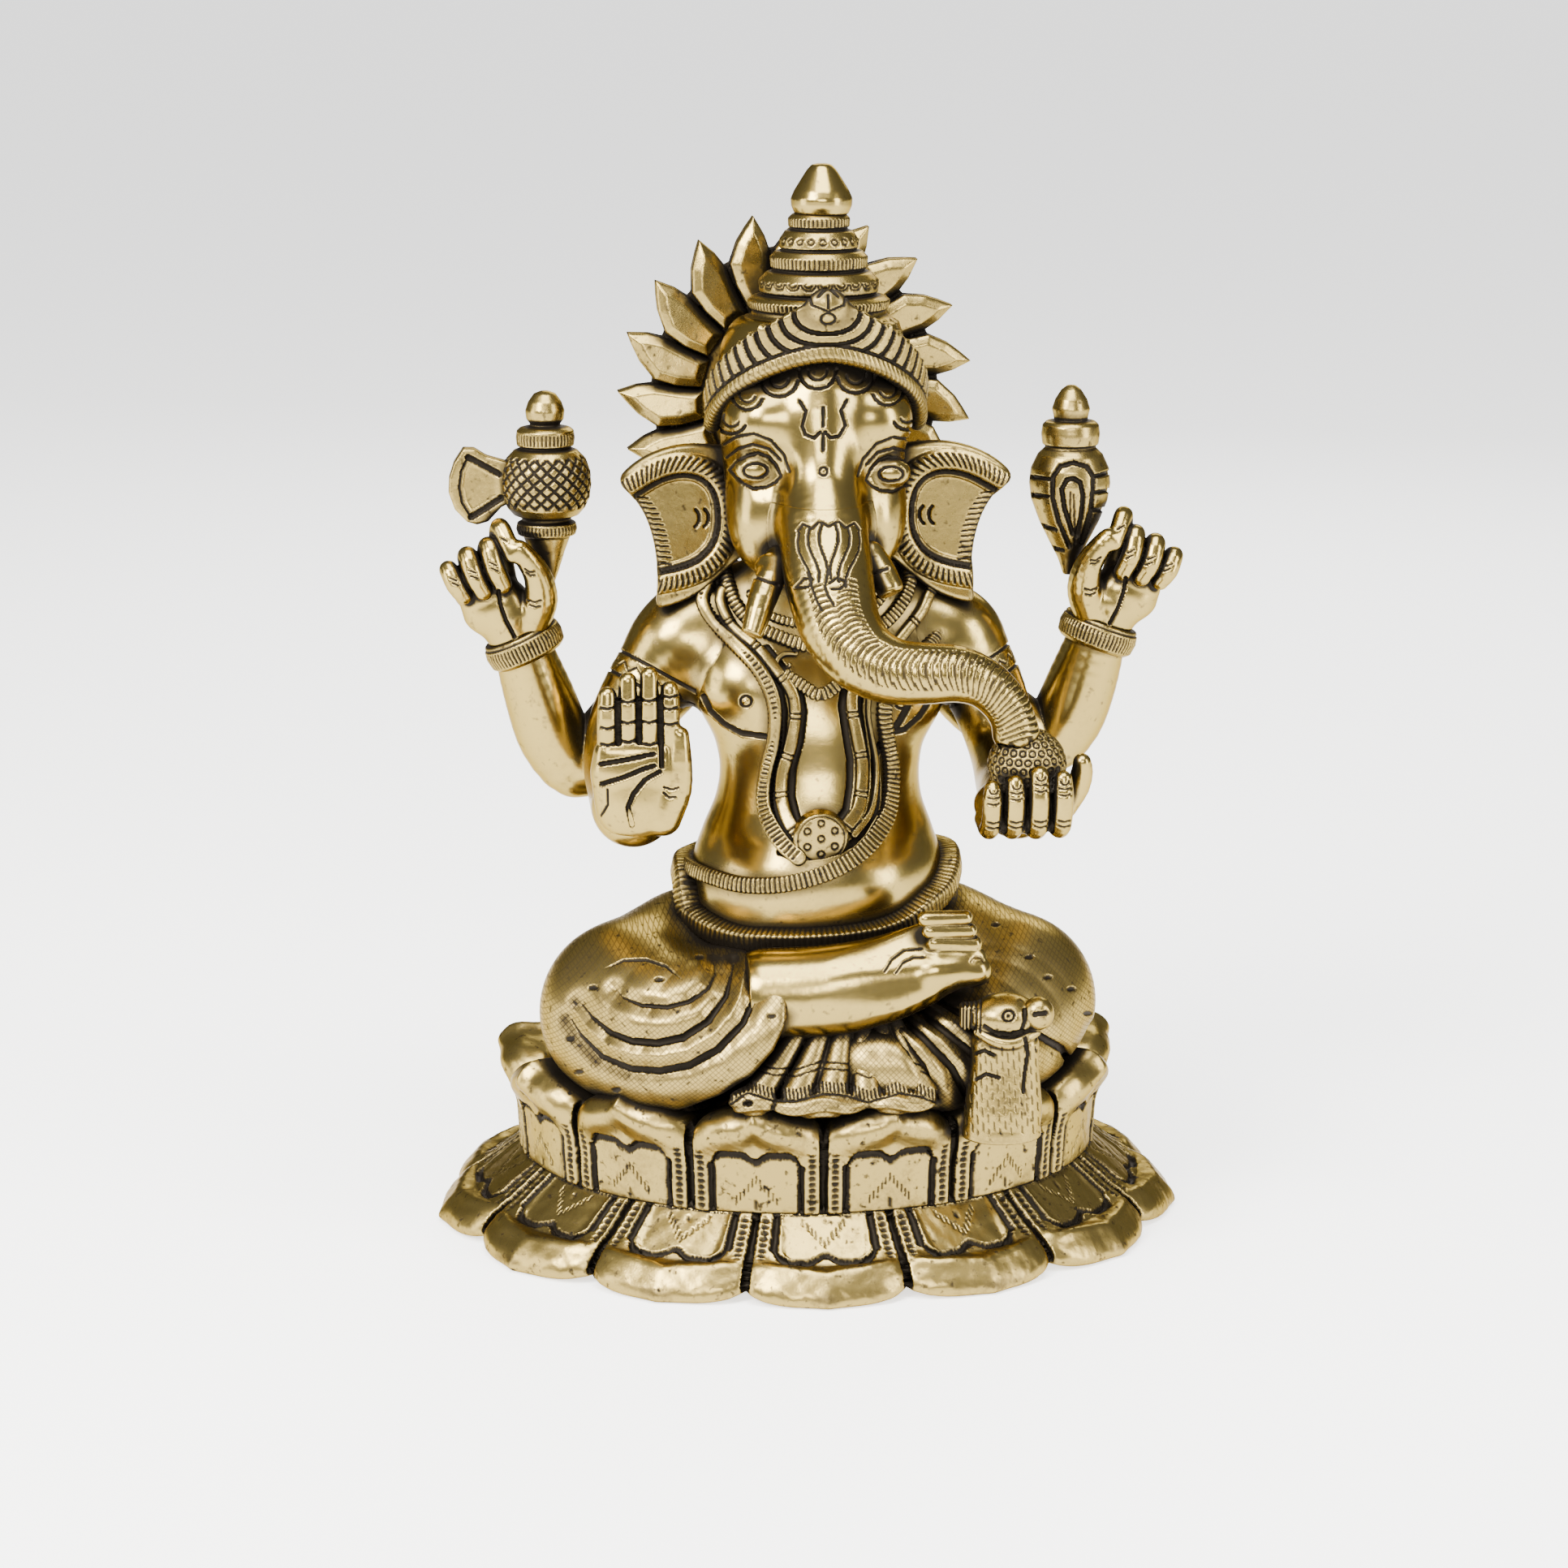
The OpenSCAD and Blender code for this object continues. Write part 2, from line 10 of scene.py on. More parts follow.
import bpy
import numpy as np
import openvdb
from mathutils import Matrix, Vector


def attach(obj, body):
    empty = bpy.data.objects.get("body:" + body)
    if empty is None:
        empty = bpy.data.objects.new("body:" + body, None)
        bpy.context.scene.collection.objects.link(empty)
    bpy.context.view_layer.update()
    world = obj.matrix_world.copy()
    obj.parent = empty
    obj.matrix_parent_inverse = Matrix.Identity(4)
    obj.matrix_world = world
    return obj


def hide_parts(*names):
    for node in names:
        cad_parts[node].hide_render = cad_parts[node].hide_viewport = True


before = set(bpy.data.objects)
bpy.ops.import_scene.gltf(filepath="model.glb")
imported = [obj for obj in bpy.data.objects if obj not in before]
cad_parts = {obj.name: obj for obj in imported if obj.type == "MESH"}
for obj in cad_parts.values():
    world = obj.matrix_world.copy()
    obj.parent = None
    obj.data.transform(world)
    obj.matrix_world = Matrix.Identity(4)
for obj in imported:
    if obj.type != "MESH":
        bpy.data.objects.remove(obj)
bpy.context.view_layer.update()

MM = 0.001
VOXEL = 0.8          # first mesh of a big casting, mm
SMALL = 0.5         # first mesh of a small one, mm
FACE_VOXEL = 0.65    # first mesh of the head, mm
FINE_EDGE = 0.4     # longest edge where a surface is chased, mm
WIDE_EDGE = 0.52    # the same on the castings with the most chasing, mm
SHAPE_ERROR = 0.05  # how far a facet may lie from a curved skin, mm
SHADE_VOXEL = 1.3    # grid that finds the recesses, mm
FAR = 1e9
pool = ThreadPoolExecutor(4)


# ---------------------------------------------------------------- sculpting tools

def vec(*v):
    return np.array(v, np.float32)


def unit(v):
    v = np.asarray(v, np.float32)
    return v / (np.linalg.norm(v, axis=-1, keepdims=True) + 1e-9)


def smin(a, b, k):
    h = np.maximum(k - np.abs(a - b), 0) / k
    return np.minimum(a, b) - h * h * k * 0.25


def smax(a, b, k):
    return -smin(-a, -b, k)


def blend(k, *shapes):
    """A smooth union, with k the size of its fillets."""
    def f(p):
        d = shapes[0](p)
        for s in shapes[1:]:
            d = smin(d, s(p), k)
        return d
    return f


def join(*shapes):
    return lambda p: np.minimum.reduce([s(p) for s in shapes])


def meet(a, b, k=0.3):
    """What two shapes share, with its edges rounded by k."""
    return lambda p: smax(a(p), b(p), k)


def tilted(a, x=0.0, y=0.0):
    """Shape a turned about the origin by angles in degrees, about x and then about y."""
    cx, sx = math.cos(math.radians(x)), math.sin(math.radians(x))
    cy, sy = math.cos(math.radians(y)), math.sin(math.radians(y))
    rx = np.array([[1, 0, 0], [0, cx, -sx], [0, sx, cx]], np.float32)
    ry = np.array([[cy, 0, sy], [0, 1, 0], [-sy, 0, cy]], np.float32)
    m = ry @ rx
    return lambda p: a(p @ m)


def egg(c, r):
    c, r = vec(*c), vec(*r)

    def f(p):
        q = (p - c) / r
        k0 = np.sqrt((q * q).sum(1)) + 1e-6
        q = q / r
        return k0 * (k0 - 1) / (np.sqrt((q * q).sum(1)) + 1e-6)
    return f


def block(c, half, r=0.5):
    c, half = vec(*c), vec(*half) - r

    def f(p):
        q = np.abs(p - c) - half
        return np.sqrt((np.maximum(q, 0) ** 2).sum(1)) + np.minimum(q.max(1), 0) - r
    return f


def plane(point, normal):
    point, normal = vec(*point), unit(normal)
    return lambda p: (p - point) @ normal


def spline(stops, step=2.5):
    """Points along a smooth curve through stops; every column is interpolated."""
    s = np.asarray(stops, np.float32)
    s = np.vstack([2 * s[0] - s[1], s, 2 * s[-1] - s[-2]])
    out = []
    for a, b, c, d in zip(s, s[1:], s[2:], s[3:]):
        n = max(2, int(np.linalg.norm((c - b)[:3]) / step) + 1)
        t = np.linspace(0, 1, n, endpoint=False)[:, None]
        out.append(0.5 * (2 * b + (c - a) * t + (2 * a - 5 * b + 4 * c - d) * t ** 2
                          + (3 * b - a - 3 * c + d) * t ** 3))
    out.append(s[-2:-1])
    return np.vstack(out).astype(np.float32)


def tube(stops, flat=1.0, step=2.5):
    """A limb through stops [x, y, z, radius]; flat squeezes it from front to back."""
    path = spline(stops, step)

    def f(p):
        best = np.full(len(p), FAR, np.float32)
        for a, b in zip(path, path[1:]):
            ab = (b - a)[:3]
            h = np.clip((p - a[:3]) @ ab / (ab @ ab + 1e-9), 0, 1)
            q = p - a[:3] - h[:, None] * ab
            if flat != 1.0:
                q[:, 1] += (1 / flat - 1) * q[:, 1]
            d = np.sqrt((q * q).sum(1)) - (a[3] + h * (b[3] - a[3]))
            np.minimum(best, d, out=best)
        return best * min(1.0, flat)
    return f


def bone(a, b, ra, rb):
    return tube([[*a, ra], [*b, rb]], step=1e6)


def loft(rows):
    """Stacked oval sections [z, x, y, half width, half depth], smoothly joined."""
    rows = np.asarray(rows, np.float32)
    fine = spline(np.column_stack([rows[:, 0], rows]), 1.0)[:, 1:]
    fine = fine[np.argsort(fine[:, 0])]
    middle, half = (fine[0, 0] + fine[-1, 0]) / 2, (fine[-1, 0] - fine[0, 0]) / 2

    def f(p):
        z = np.clip(p[:, 2], fine[0, 0], fine[-1, 0])
        cx, cy, w, d = (np.interp(z, fine[:, 0], fine[:, i]).astype(np.float32) for i in (1, 2, 3, 4))
        k = np.sqrt(((p[:, 0] - cx) / w) ** 2 + ((p[:, 1] - cy) / d) ** 2)
        side = (k - 1) * np.minimum(w, d)
        return smax(side, np.abs(p[:, 2] - middle) - half, 3.0)
    return f


def polygon_distance(u, v, outline):
    """Signed distance in a plane to a closed outline."""
    outline = np.array(outline, np.float32)
    best = np.full(len(u), FAR, np.float32)
    inside = np.zeros(len(u), bool)
    for (ax, ay), (bx, by) in zip(outline, np.roll(outline, -1, 0)):
        ex, ey = bx - ax, by - ay
        h = np.clip(((u - ax) * ex + (v - ay) * ey) / (ex * ex + ey * ey + 1e-9), 0, 1)
        dx, dy = u - ax - h * ex, v - ay - h * ey
        np.minimum(best, dx * dx + dy * dy, out=best)
        crosses = (ay > v) != (by > v)
        with np.errstate(divide="ignore", invalid="ignore"):
            inside ^= crosses & (u < ex * (v - ay) / (ey + 1e-12) + ax)
    d = np.sqrt(best)
    return np.where(inside, -d, d)


def lathe(c, profile, r=0.3):
    """A turned solid about the vertical through c; profile is [radius, z] from bottom to top."""
    c = vec(*c)
    side = np.array(profile, np.float32)
    outline = np.vstack([[[-1, side[0, 1]]], side, [[-1, side[-1, 1]]]])

    def f(p):
        return polygon_distance(np.hypot(p[:, 0] - c[0], p[:, 1] - c[1]), p[:, 2] - c[2], outline) - r
    return f


def slab(outline, thick, r=0.5):
    """An outline in x and z, extruded along y to thickness 2 * thick."""
    def f(p):
        d = polygon_distance(p[:, 0], p[:, 2], outline) + r
        e = np.abs(p[:, 1]) - thick + r
        return np.minimum(np.maximum(d, e), 0) + np.hypot(np.maximum(d, 0), np.maximum(e, 0)) - r
    return f


# ---------------------------------------------------------------- lines on a surface

def groove(d, width, depth):
    """The depth of a round-bottomed line at distance d from its middle."""
    t = np.clip(1 - (2 * d / width) ** 2, 0, 1)
    return depth * np.sqrt(t)


def segment(u, v, a, b):
    ex, ey = b[0] - a[0], b[1] - a[1]
    h = np.clip(((u - a[0]) * ex + (v - a[1]) * ey) / (ex * ex + ey * ey + 1e-9), 0, 1)
    return np.hypot(u - a[0] - h * ex, v - a[1] - h * ey)


def polyline(u, v, pts):
    d = np.full(len(u), FAR, np.float32)
    for a, b in zip(pts, pts[1:]):
        np.minimum(d, segment(u, v, a, b), out=d)
    return d


def fold(u, pitch):
    """Distance from the nearest of a row of lines."""
    return np.abs((u / pitch + 0.5) % 1.0 - 0.5) * pitch


def arc_points(cx, cy, r, a0, a1, n=10, ry=None):
    ry = r if ry is None else ry
    return [(cx + r * math.cos(math.radians(a0 + (a1 - a0) * i / n)),
             cy + ry * math.sin(math.radians(a0 + (a1 - a0) * i / n))) for i in range(n + 1)]


# ---------------------------------------------------------------- meshing

def sample(shape, p, chunk=40000):
    if len(p) <= chunk:
        return shape(p)
    parts = [p[i:i + chunk] for i in range(0, len(p), chunk)]
    return np.concatenate(list(pool.map(shape, parts)))


def surface(shape, lo, hi, h):
    """Triangles of the zero level, found in small blocks near the surface only."""
    side = 4
    margin = 2.5 * h
    lo = vec(*lo) - margin
    blocks = np.ceil((vec(*hi) + margin - lo) / (h * side)).astype(int)
    corner = np.stack(np.meshgrid(*[np.arange(n) for n in blocks], indexing="ij"), -1).reshape(-1, 3)
    middle = sample(shape, (lo + (corner * side + (side - 1) / 2) * h).astype(np.float32))
    band = 3.0 * h
    near = np.abs(middle) < side * h * 1.25
    dense = np.where(middle < 0, -band, band).astype(np.float32).reshape(blocks)
    dense = dense.repeat(side, 0).repeat(side, 1).repeat(side, 2)
    inner = np.stack(np.meshgrid(*[np.arange(side)] * 3, indexing="ij"), -1).reshape(-1, 3)
    cells = (corner[near][:, None] * side + inner[None]).reshape(-1, 3)
    values = sample(shape, (lo + cells * h).astype(np.float32))
    dense[cells[:, 0], cells[:, 1], cells[:, 2]] = np.clip(values, -band, band)
    grid = openvdb.FloatGrid(band)
    grid.copyFromArray(dense)
    points, quads = grid.convertToQuads(0.0)
    quads = quads.astype(np.int64)
    tris = np.vstack([quads[:, [0, 1, 2]], quads[:, [0, 2, 3]]])
    return (points * h + lo).astype(np.float32), tris


TETRA = np.array([[1, 1, 1], [1, -1, -1], [-1, 1, -1], [-1, -1, 1]], np.float32)


def value_and_slope(shape, p, e=0.08):
    parts = [sample(shape, p + e * t) for t in TETRA]
    slope = sum(f[:, None] * t for f, t in zip(parts, TETRA)) / (4 * e)
    return sum(parts) / 4, slope


def settle(shape, p, rounds=2):
    """Moves points onto the surface and returns them with its normals."""
    for _ in range(rounds):
        f, g = value_and_slope(shape, p)
        size = (g * g).sum(1) + 1e-6
        move = np.clip(f / np.sqrt(size), -1.0, 1.0) / np.sqrt(size)
        p = p - move[:, None] * g
    return p.astype(np.float32), unit(g)


def split_edges(verts, tris, wanted):
    """Cuts every edge that wanted(a, b) picks and keeps the mesh closed."""
    pairs = np.sort(tris[:, [[0, 1], [1, 2], [2, 0]]].reshape(-1, 2), 1)
    key = pairs[:, 0] * len(verts) + pairs[:, 1]
    _, first, inverse = np.unique(key, return_index=True, return_inverse=True)
    ends = pairs[first]
    pick = wanted(ends[:, 0], ends[:, 1])
    number = np.full(len(ends), -1)
    number[pick] = len(verts) + np.arange(pick.sum())
    added = (verts[ends[pick, 0]] + verts[ends[pick, 1]]) / 2
    m = number[inverse].reshape(-1, 3)
    count = (m >= 0).sum(1)
    out = [tris[count == 0]]
    one = count == 1
    t, n = roll_to_first(tris[one], m[one], m[one] >= 0)
    out += [np.stack([t[:, 0], n[:, 0], t[:, 2]], 1), np.stack([n[:, 0], t[:, 1], t[:, 2]], 1)]
    two = count == 2
    gap = m[two] < 0
    t, n = roll_to_first(tris[two], m[two], np.roll(gap, -2, 1))
    out += [np.stack([n[:, 0], t[:, 1], n[:, 1]], 1), np.stack([t[:, 0], n[:, 0], n[:, 1]], 1),
            np.stack([t[:, 0], n[:, 1], t[:, 2]], 1)]
    t, n = tris[count == 3], m[count == 3]
    out += [np.stack([t[:, 0], n[:, 0], n[:, 2]], 1), np.stack([n[:, 0], t[:, 1], n[:, 1]], 1),
            np.stack([n[:, 2], n[:, 1], t[:, 2]], 1), n]
    return added, np.vstack(out)


def roll_to_first(tris, mids, flag):
    """Turns each triangle so that its flagged edge comes first."""
    shift = flag.argmax(1)
    cols = (np.arange(3)[None] + shift[:, None]) % 3
    rows = np.arange(len(tris))[:, None]
    return tris[rows, cols], mids[rows, cols]


SAG = 0.18   # how far an edge lies inside its arc, over its length and the root of 1 - cos(bend)


def sculpt(shape, lo, hi, chase, voxel, edge):
    """Meshes a shape. chase(p, normal) gives the carved depth and where the mesh must be fine."""
    verts, tris = surface(shape, lo, hi, voxel)
    verts, normals = settle(shape, verts, 3)
    a, b, c = (verts[tris[:, i]] for i in range(3))
    if (np.cross(b - a, c - a) * normals[tris[:, 0]]).sum() < 0:
        tris = tris[:, ::-1]
    for _ in range(3):
        zone = chase(verts, normals)[1] if chase else np.zeros(len(verts), bool)

        def wanted(i, j):
            length = np.linalg.norm(verts[i] - verts[j], axis=1)
            bend = (normals[i] * normals[j]).sum(1)
            sag = length * np.sqrt(np.clip(1 - bend, 0, 2)) * SAG
            return ((zone[i] | zone[j]) & (length > edge)) | ((sag > SHAPE_ERROR) & (length > edge * 0.8))
        added, tris = split_edges(verts, tris, wanted)
        if not len(added):
            break
        added, new_normals = settle(shape, added, 2)
        verts = np.vstack([verts, added])
        normals = np.vstack([normals, new_normals])
    depth = chase(verts, normals)[0] if chase else np.zeros(len(verts), np.float32)
    return verts, normals, tris, depth


castings = []


def casting(name, shape, lo, hi, finish, chase=None, node=None, voxel=SMALL,
            edge=FINE_EDGE):
    """Sculpts a piece that stands for the CAD node of its name, and keeps it for the pass that adds its
    black wax and painted shade.
    """
    verts, normals, tris, depth = sculpt(shape, lo, hi, chase, voxel, edge)
    castings.append(dict(name=name, nodes=[node or name], shape=shape, lo=vec(*lo), hi=vec(*hi),
                         finish=finish, verts=verts, normals=normals, tris=tris, depth=depth))


# ---------------------------------------------------------------- lotus base

OVAL = 76.0 / 92.0        # depth over width
PETALS = 13
PITCH = 2 * math.pi / PETALS
ARC_SHIFT = (1 - OVAL ** 2) / (2 + 2 * OVAL ** 2) / 2
MEAN_RADIUS = 0.916       # of the oval, as a share of its half width
SEAM_Z = 17.0             # where the tiers meet
PANEL_HALF = 10.2         # of a petal's framed panel
LOWER, UPPER = 0, 1       # the tiers
PANEL_SHARE = (0.69, 0.66)   # a panel's width over its petal's, by tier
PANEL_TOP = (11.0, 14.0)     # a panel's length from the seam, by tier
BASE_TURN = math.radians(-2.0)


def oval(p):
    """Radius in the oval's own metric, its slope, and the angle along the edge from the front."""
    y = p[:, 1] / OVAL
    radius = np.hypot(p[:, 0], y) + 1e-6
    slope = np.hypot(p[:, 0], y / OVAL) / radius
    t = np.arctan2(p[:, 0], -y)
    return radius, slope, t + ARC_SHIFT * np.sin(2 * t) - BASE_TURN


def petal_place(p, shift):
    """Distance from a petal's midline, as a share of half its width and in mm, and the radius."""
    radius, slope, t = oval(p)
    local = (t / PITCH + shift + 0.5) % 1.0 - 0.5
    return local * 2, local * PITCH * radius * MEAN_RADIUS, radius, slope


def panel_line(u, v, half, top):
    """Distance to the line round a petal's panel: two sides and a top with two humps."""
    w = np.clip(np.abs(u) / half, 0, 1.0)
    shoulder = 0.68
    fall = np.clip((w - shoulder) / (1 - shoulder), 0, 1)
    hump = top + 0.7 - 1.9 * np.exp(-(w / 0.2) ** 2) - 3.4 * fall ** 2.6
    over = np.where(np.abs(u) < half, np.abs(v - hump), np.hypot(np.abs(u) - half, v - top + 2.7))
    side = np.where(v < top - 2.7, np.abs(np.abs(u) - half), np.hypot(np.abs(u) - half, v - top + 2.7))
    inside = np.minimum(half - np.abs(u), hump - v)
    return np.minimum(over * 0.86, side), inside


def petal_chasing(u, v, radius, tier, tip):
    """The carved depth on a petal, from its seam (v = 0) to its tip, and where it needs a fine mesh."""
    half_pitch = PITCH * 0.5 * radius * MEAN_RADIUS
    top = PANEL_TOP[tier]
    half = half_pitch * PANEL_SHARE[tier]
    line = panel_line(u, v, half, top)[0]
    depth = groove(line, 1.9, 1.3) * (v > -0.5)
    gap = np.abs(np.abs(u) - half_pitch)
    depth = np.maximum(depth, groove(gap, 1.9, 2.2) * (v < tip - 4))
    bead_u = np.abs(np.abs(u) - (half + half_pitch) / 2)
    bead_v = fold(v, 1.5)
    beads = groove(np.hypot(bead_u * 0.75, bead_v) - 0.25, 0.9, 0.35)
    depth = np.maximum(depth, beads * (v < top + 1) * (v > 0.4))
    apex = top * 0.42
    chevron = np.abs(v - (top * 0.62 - np.abs(u) * 1.15))
    ticks = groove(fold(u, 0.95), 0.42, 0.3) * (chevron < 0.95) * (np.abs(u) < 5.2)
    stem = groove(segment(u, v, (0, 1.0), (0, apex * 0.6)), 0.6, 0.4)
    depth = np.maximum(depth, np.maximum(ticks, stem))
    fine = (line < 1.4) | (gap < 1.4) | ((bead_u < 1.1) & (v < top + 1))
    fine |= (chevron < 1.3) & (np.abs(u) < 5.6)
    return depth, fine & (v > -1) & (v < tip + 1)


def upper_top(w):
    """Height of the upper petals' edge across a petal, w = 0 at the middle and 1 at the seam."""
    w = np.clip(np.abs(w), 0, 1)
    return 35.5 + 7.2 * np.sqrt(np.clip(1 - w ** 2.2, 0, 1)) + 2.2 * np.exp(-(w / 0.16) ** 1.4)


def hand_cast(p):
    """Slight unevenness of a hand-made casting, in millimetres."""
    x, y, z = p[:, 0], p[:, 1], p[:, 2]
    broad = np.sin(0.83 * x + 1.9 * np.sin(0.31 * y)) * np.sin(0.77 * z + 0.9 * np.sin(0.5 * x) + 0.6 * y)
    small = np.sin(2.1 * x + 1.3 * z) * np.sin(1.9 * y - 1.7 * z + 0.8 * np.sin(0.9 * x))
    return 0.07 * broad + 0.03 * small


def upper_tier(p):
    w, u, radius, slope = petal_place(p, 0.5)
    z = p[:, 2]
    edge = upper_top(w)
    rise = np.clip((z - SEAM_Z) / 28, 0, 1.1)
    bulge = 1 - np.clip(np.abs(w), 0, 1) ** 3
    roll = 3.3 * np.exp(-((z - edge + 5.2) / 4.2) ** 2)
    crease = 0.9 * np.exp(-(w / 0.1) ** 2) * np.clip((z - 34) / 6, 0, 1)
    outer = 70.6 + 0.8 * rise + (0.3 + 1.2 * rise + roll) * bulge + crease
    inside = panel_line(u, z - SEAM_Z, PANEL_HALF, PANEL_TOP[UPPER])[1]
    outer = outer - 0.7 * np.clip(inside / 1.2, 0, 1)
    solid = smax((radius - outer) / slope, z - edge, 4.0)
    cup = smax(solid, -smax((radius - 62.5) / slope, 38.0 - z, 2.0), 3.0)
    return smax(cup + hand_cast(p), SEAM_Z - z, 0.6)


def upper_chase(p, n):
    _, u, radius, _ = petal_place(p, 0.5)
    outside = (n[:, 0] * p[:, 0] + n[:, 1] * p[:, 1] / OVAL ** 2) > 0.3 * radius
    depth, fine = petal_chasing(u, p[:, 2] - SEAM_Z, radius, UPPER, 26.0)
    outside &= radius > 66
    return depth * outside, fine & outside


def down_petal(radius):
    """How far down a lower petal's slope a radius is, from the seam."""
    return (radius - 70.5) * 1.12


def lower_edge(w):
    w = np.clip(np.abs(w), 0, 1)
    return 83.6 + 6.4 * np.clip(1 - w ** 2.2, 0, 1) ** 0.6 + 1.2 * np.exp(-(w / 0.14) ** 1.5)


def lower_tier(p):
    w, u, radius, slope = petal_place(p, 0.0)
    z = p[:, 2]
    edge = lower_edge(w)
    share = np.clip(np.abs(w), 0, 1)
    # The panels fall at about 45 degrees to the foot of a thick rounded lip.
    fall = np.clip((radius - 70.2) / 13.0, 0, 1.6)
    lip = 1.5 * np.exp(-((radius - edge + 4.6) / 2.4) ** 2) * (1 - share ** 5)
    roof = SEAM_Z + 0.3 - 10.4 * fall + 4.6 * np.clip(fall - 0.9, 0, 1) ** 0.8 + lip
    inside = panel_line(u, down_petal(radius), PANEL_HALF, PANEL_TOP[LOWER])[1]
    roof = roof - 0.6 * np.clip(inside / 1.2, 0, 1) * (radius > 70)
    roof = np.where(radius < 69.6, SEAM_Z, roof)
    skirt = (radius - edge) / slope - 0.9 * np.clip(1 - ((z - 3.5) / 3.5) ** 2, 0, 1)
    floor = 2.4 * share ** 4 * np.clip((radius - 76) / 4, 0, 1)
    solid = smax(smax(skirt, (z - roof) * 0.72, 4.0), floor - z, 1.6)
    hollow = smax(smax((radius - 66.0) / slope, z - 12.0, 1.5), (radius - (80.0 - z * 1.2)) / slope, 1.5)
    return smax(solid + hand_cast(p) * (z > 1), -hollow, 0.6)


def lower_chase(p, n):
    _, u, radius, _ = petal_place(p, 0.0)
    up = n[:, 2] > 0.05
    depth, fine = petal_chasing(u, down_petal(radius), radius, LOWER, 40.0)
    gap = np.abs(np.abs(u) - PITCH * 0.5 * radius * MEAN_RADIUS)
    side = (radius > 80) & (p[:, 2] > -0.5) & (n[:, 2] > -0.5)
    depth = np.where(up & (radius > 69), depth, 0)
    depth = np.maximum(depth, groove(gap, 1.6, 1.6) * side)
    return depth, (fine & up & (radius > 69)) | ((gap < 1.3) & side)


def make_base():
    casting("lotus_lower", lower_tier, (-94, -79, -1), (94, 79, 19), "cast", lower_chase,
            "lotus_lower_tier", VOXEL, WIDE_EDGE)
    casting("lotus_upper", upper_tier, (-77, -65, 16), (77, 65, 47), "cast", upper_chase,
            "lotus_upper_tier", VOXEL, WIDE_EDGE)


# ---------------------------------------------------------------- drawing on the figure

EYE = vec(-89, -845, 309)   # the view point in front of the statue that its chasing is drawn from


def drawn(p, y):
    """Carries points along the line of sight to an upright plane at depth y; returns x and z there."""
    q = EYE + (p - EYE) * ((y - EYE[1]) / (p[:, 1] - EYE[1]))[:, None]
    return q[:, 0], q[:, 2]


def drape(shape, stops, y, step=2.0):
    """Drops a line, drawn on the plane at depth y, onto a shape along the line of sight."""
    line = spline([[x, y, z] for x, z in stops], step)
    ray = unit(line - EYE)
    start, rounds, stride = 45, 70, 0.9
    p = line - ray * start
    for _ in range(rounds):
        p = p + ray * np.clip(shape(p.astype(np.float32)), 0, 5)[:, None] * stride
    return p.astype(np.float32)


def lay(shape, stops, step=2.5):
    """Pulls a line of points onto the nearest part of a shape."""
    return settle(shape, spline(stops, step), 12)[0]


def path_near(p, path):
    """Distance to a path and how far along it the nearest place is."""
    best = np.full(len(p), FAR, np.float32)
    place = np.zeros(len(p), np.float32)
    start = 0.0
    for a, b in zip(path[:, :3], path[1:, :3]):
        ab = b - a
        size = float(np.sqrt(ab @ ab)) + 1e-6
        h = np.clip((p - a) @ ab / size ** 2, 0, 1)
        q = p - a - h[:, None] * ab
        d = np.sqrt((q * q).sum(1))
        near = d < best
        best[near] = d[near]
        place[near] = (start + h * size)[near]
        start += size
    return best, place


def trace(u, v, pts):
    """Distance to a drawn line and how far along it the nearest place is."""
    flat = np.column_stack([u, v, np.zeros(len(u))]).astype(np.float32)
    return path_near(flat, np.array([(a, b, 0) for a, b in pts], np.float32))


def strip(body, path, half, high, k=0.8):
    """A raised band that follows a path laid on a body."""
    def f(p):
        b = body(p)
        d, _ = path_near(p, path)
        side = np.sqrt(np.maximum(d * d - b * b, 0))
        return smax(smax(side - half, b - high, k), -b - 1.0, 0.3)
    return f


def fillet_onto(part, host, k, reach):
    """A part that flows into its host with a fillet and ends a little way out on it."""
    return meet(blend(k, part, host), lambda p: part(p) - reach, 0.6)


def ticks(s, pitch=1.2, width=0.55, depth=0.35):
    return groove(fold(s, pitch), width, depth)


def lines(u, v, strokes, width=0.6, depth=0.45):
    """The carved depth of several drawn strokes, and how near a point is to any of them."""
    d = np.minimum.reduce([polyline(u, v, s) for s in strokes])
    return groove(d, width, depth), d


def rings(u, v, places, r, width=0.5, depth=0.4):
    """Small punched rings."""
    d = np.minimum.reduce([np.abs(np.hypot(u - a, v - b) - r) for a, b in places])
    return groove(d, width, depth), d


def engraved(u, v, *cuts):
    """The depth of groups of strokes (strokes, width, depth, reach), and where the mesh must be fine."""
    depth, fine = 0, False
    for strokes, width, deep, reach in cuts:
        line, d = lines(u, v, strokes, width, deep)
        depth = np.maximum(depth, line)
        fine = fine | (d < reach)
    return depth, fine


def drawing(y, limit, *cuts):
    """Chasing drawn on the plane at depth y, where the skin's normal is below limit along y."""
    def chase(p, n):
        front = n[:, 1] < limit
        depth, fine = engraved(*drawn(p, y), *cuts)
        return depth * front, fine & front
    return chase


def corded(p, paths, reach=2.8, pitch=1.15):
    """Fine ticks across cords that follow the paths."""
    depth, fine = 0, False
    for path in paths:
        d, s = path_near(p, path)
        depth = np.maximum(depth, ticks(s, pitch) * (d < reach))
        fine = fine | (d < reach)
    return depth, fine


# ---------------------------------------------------------------- torso

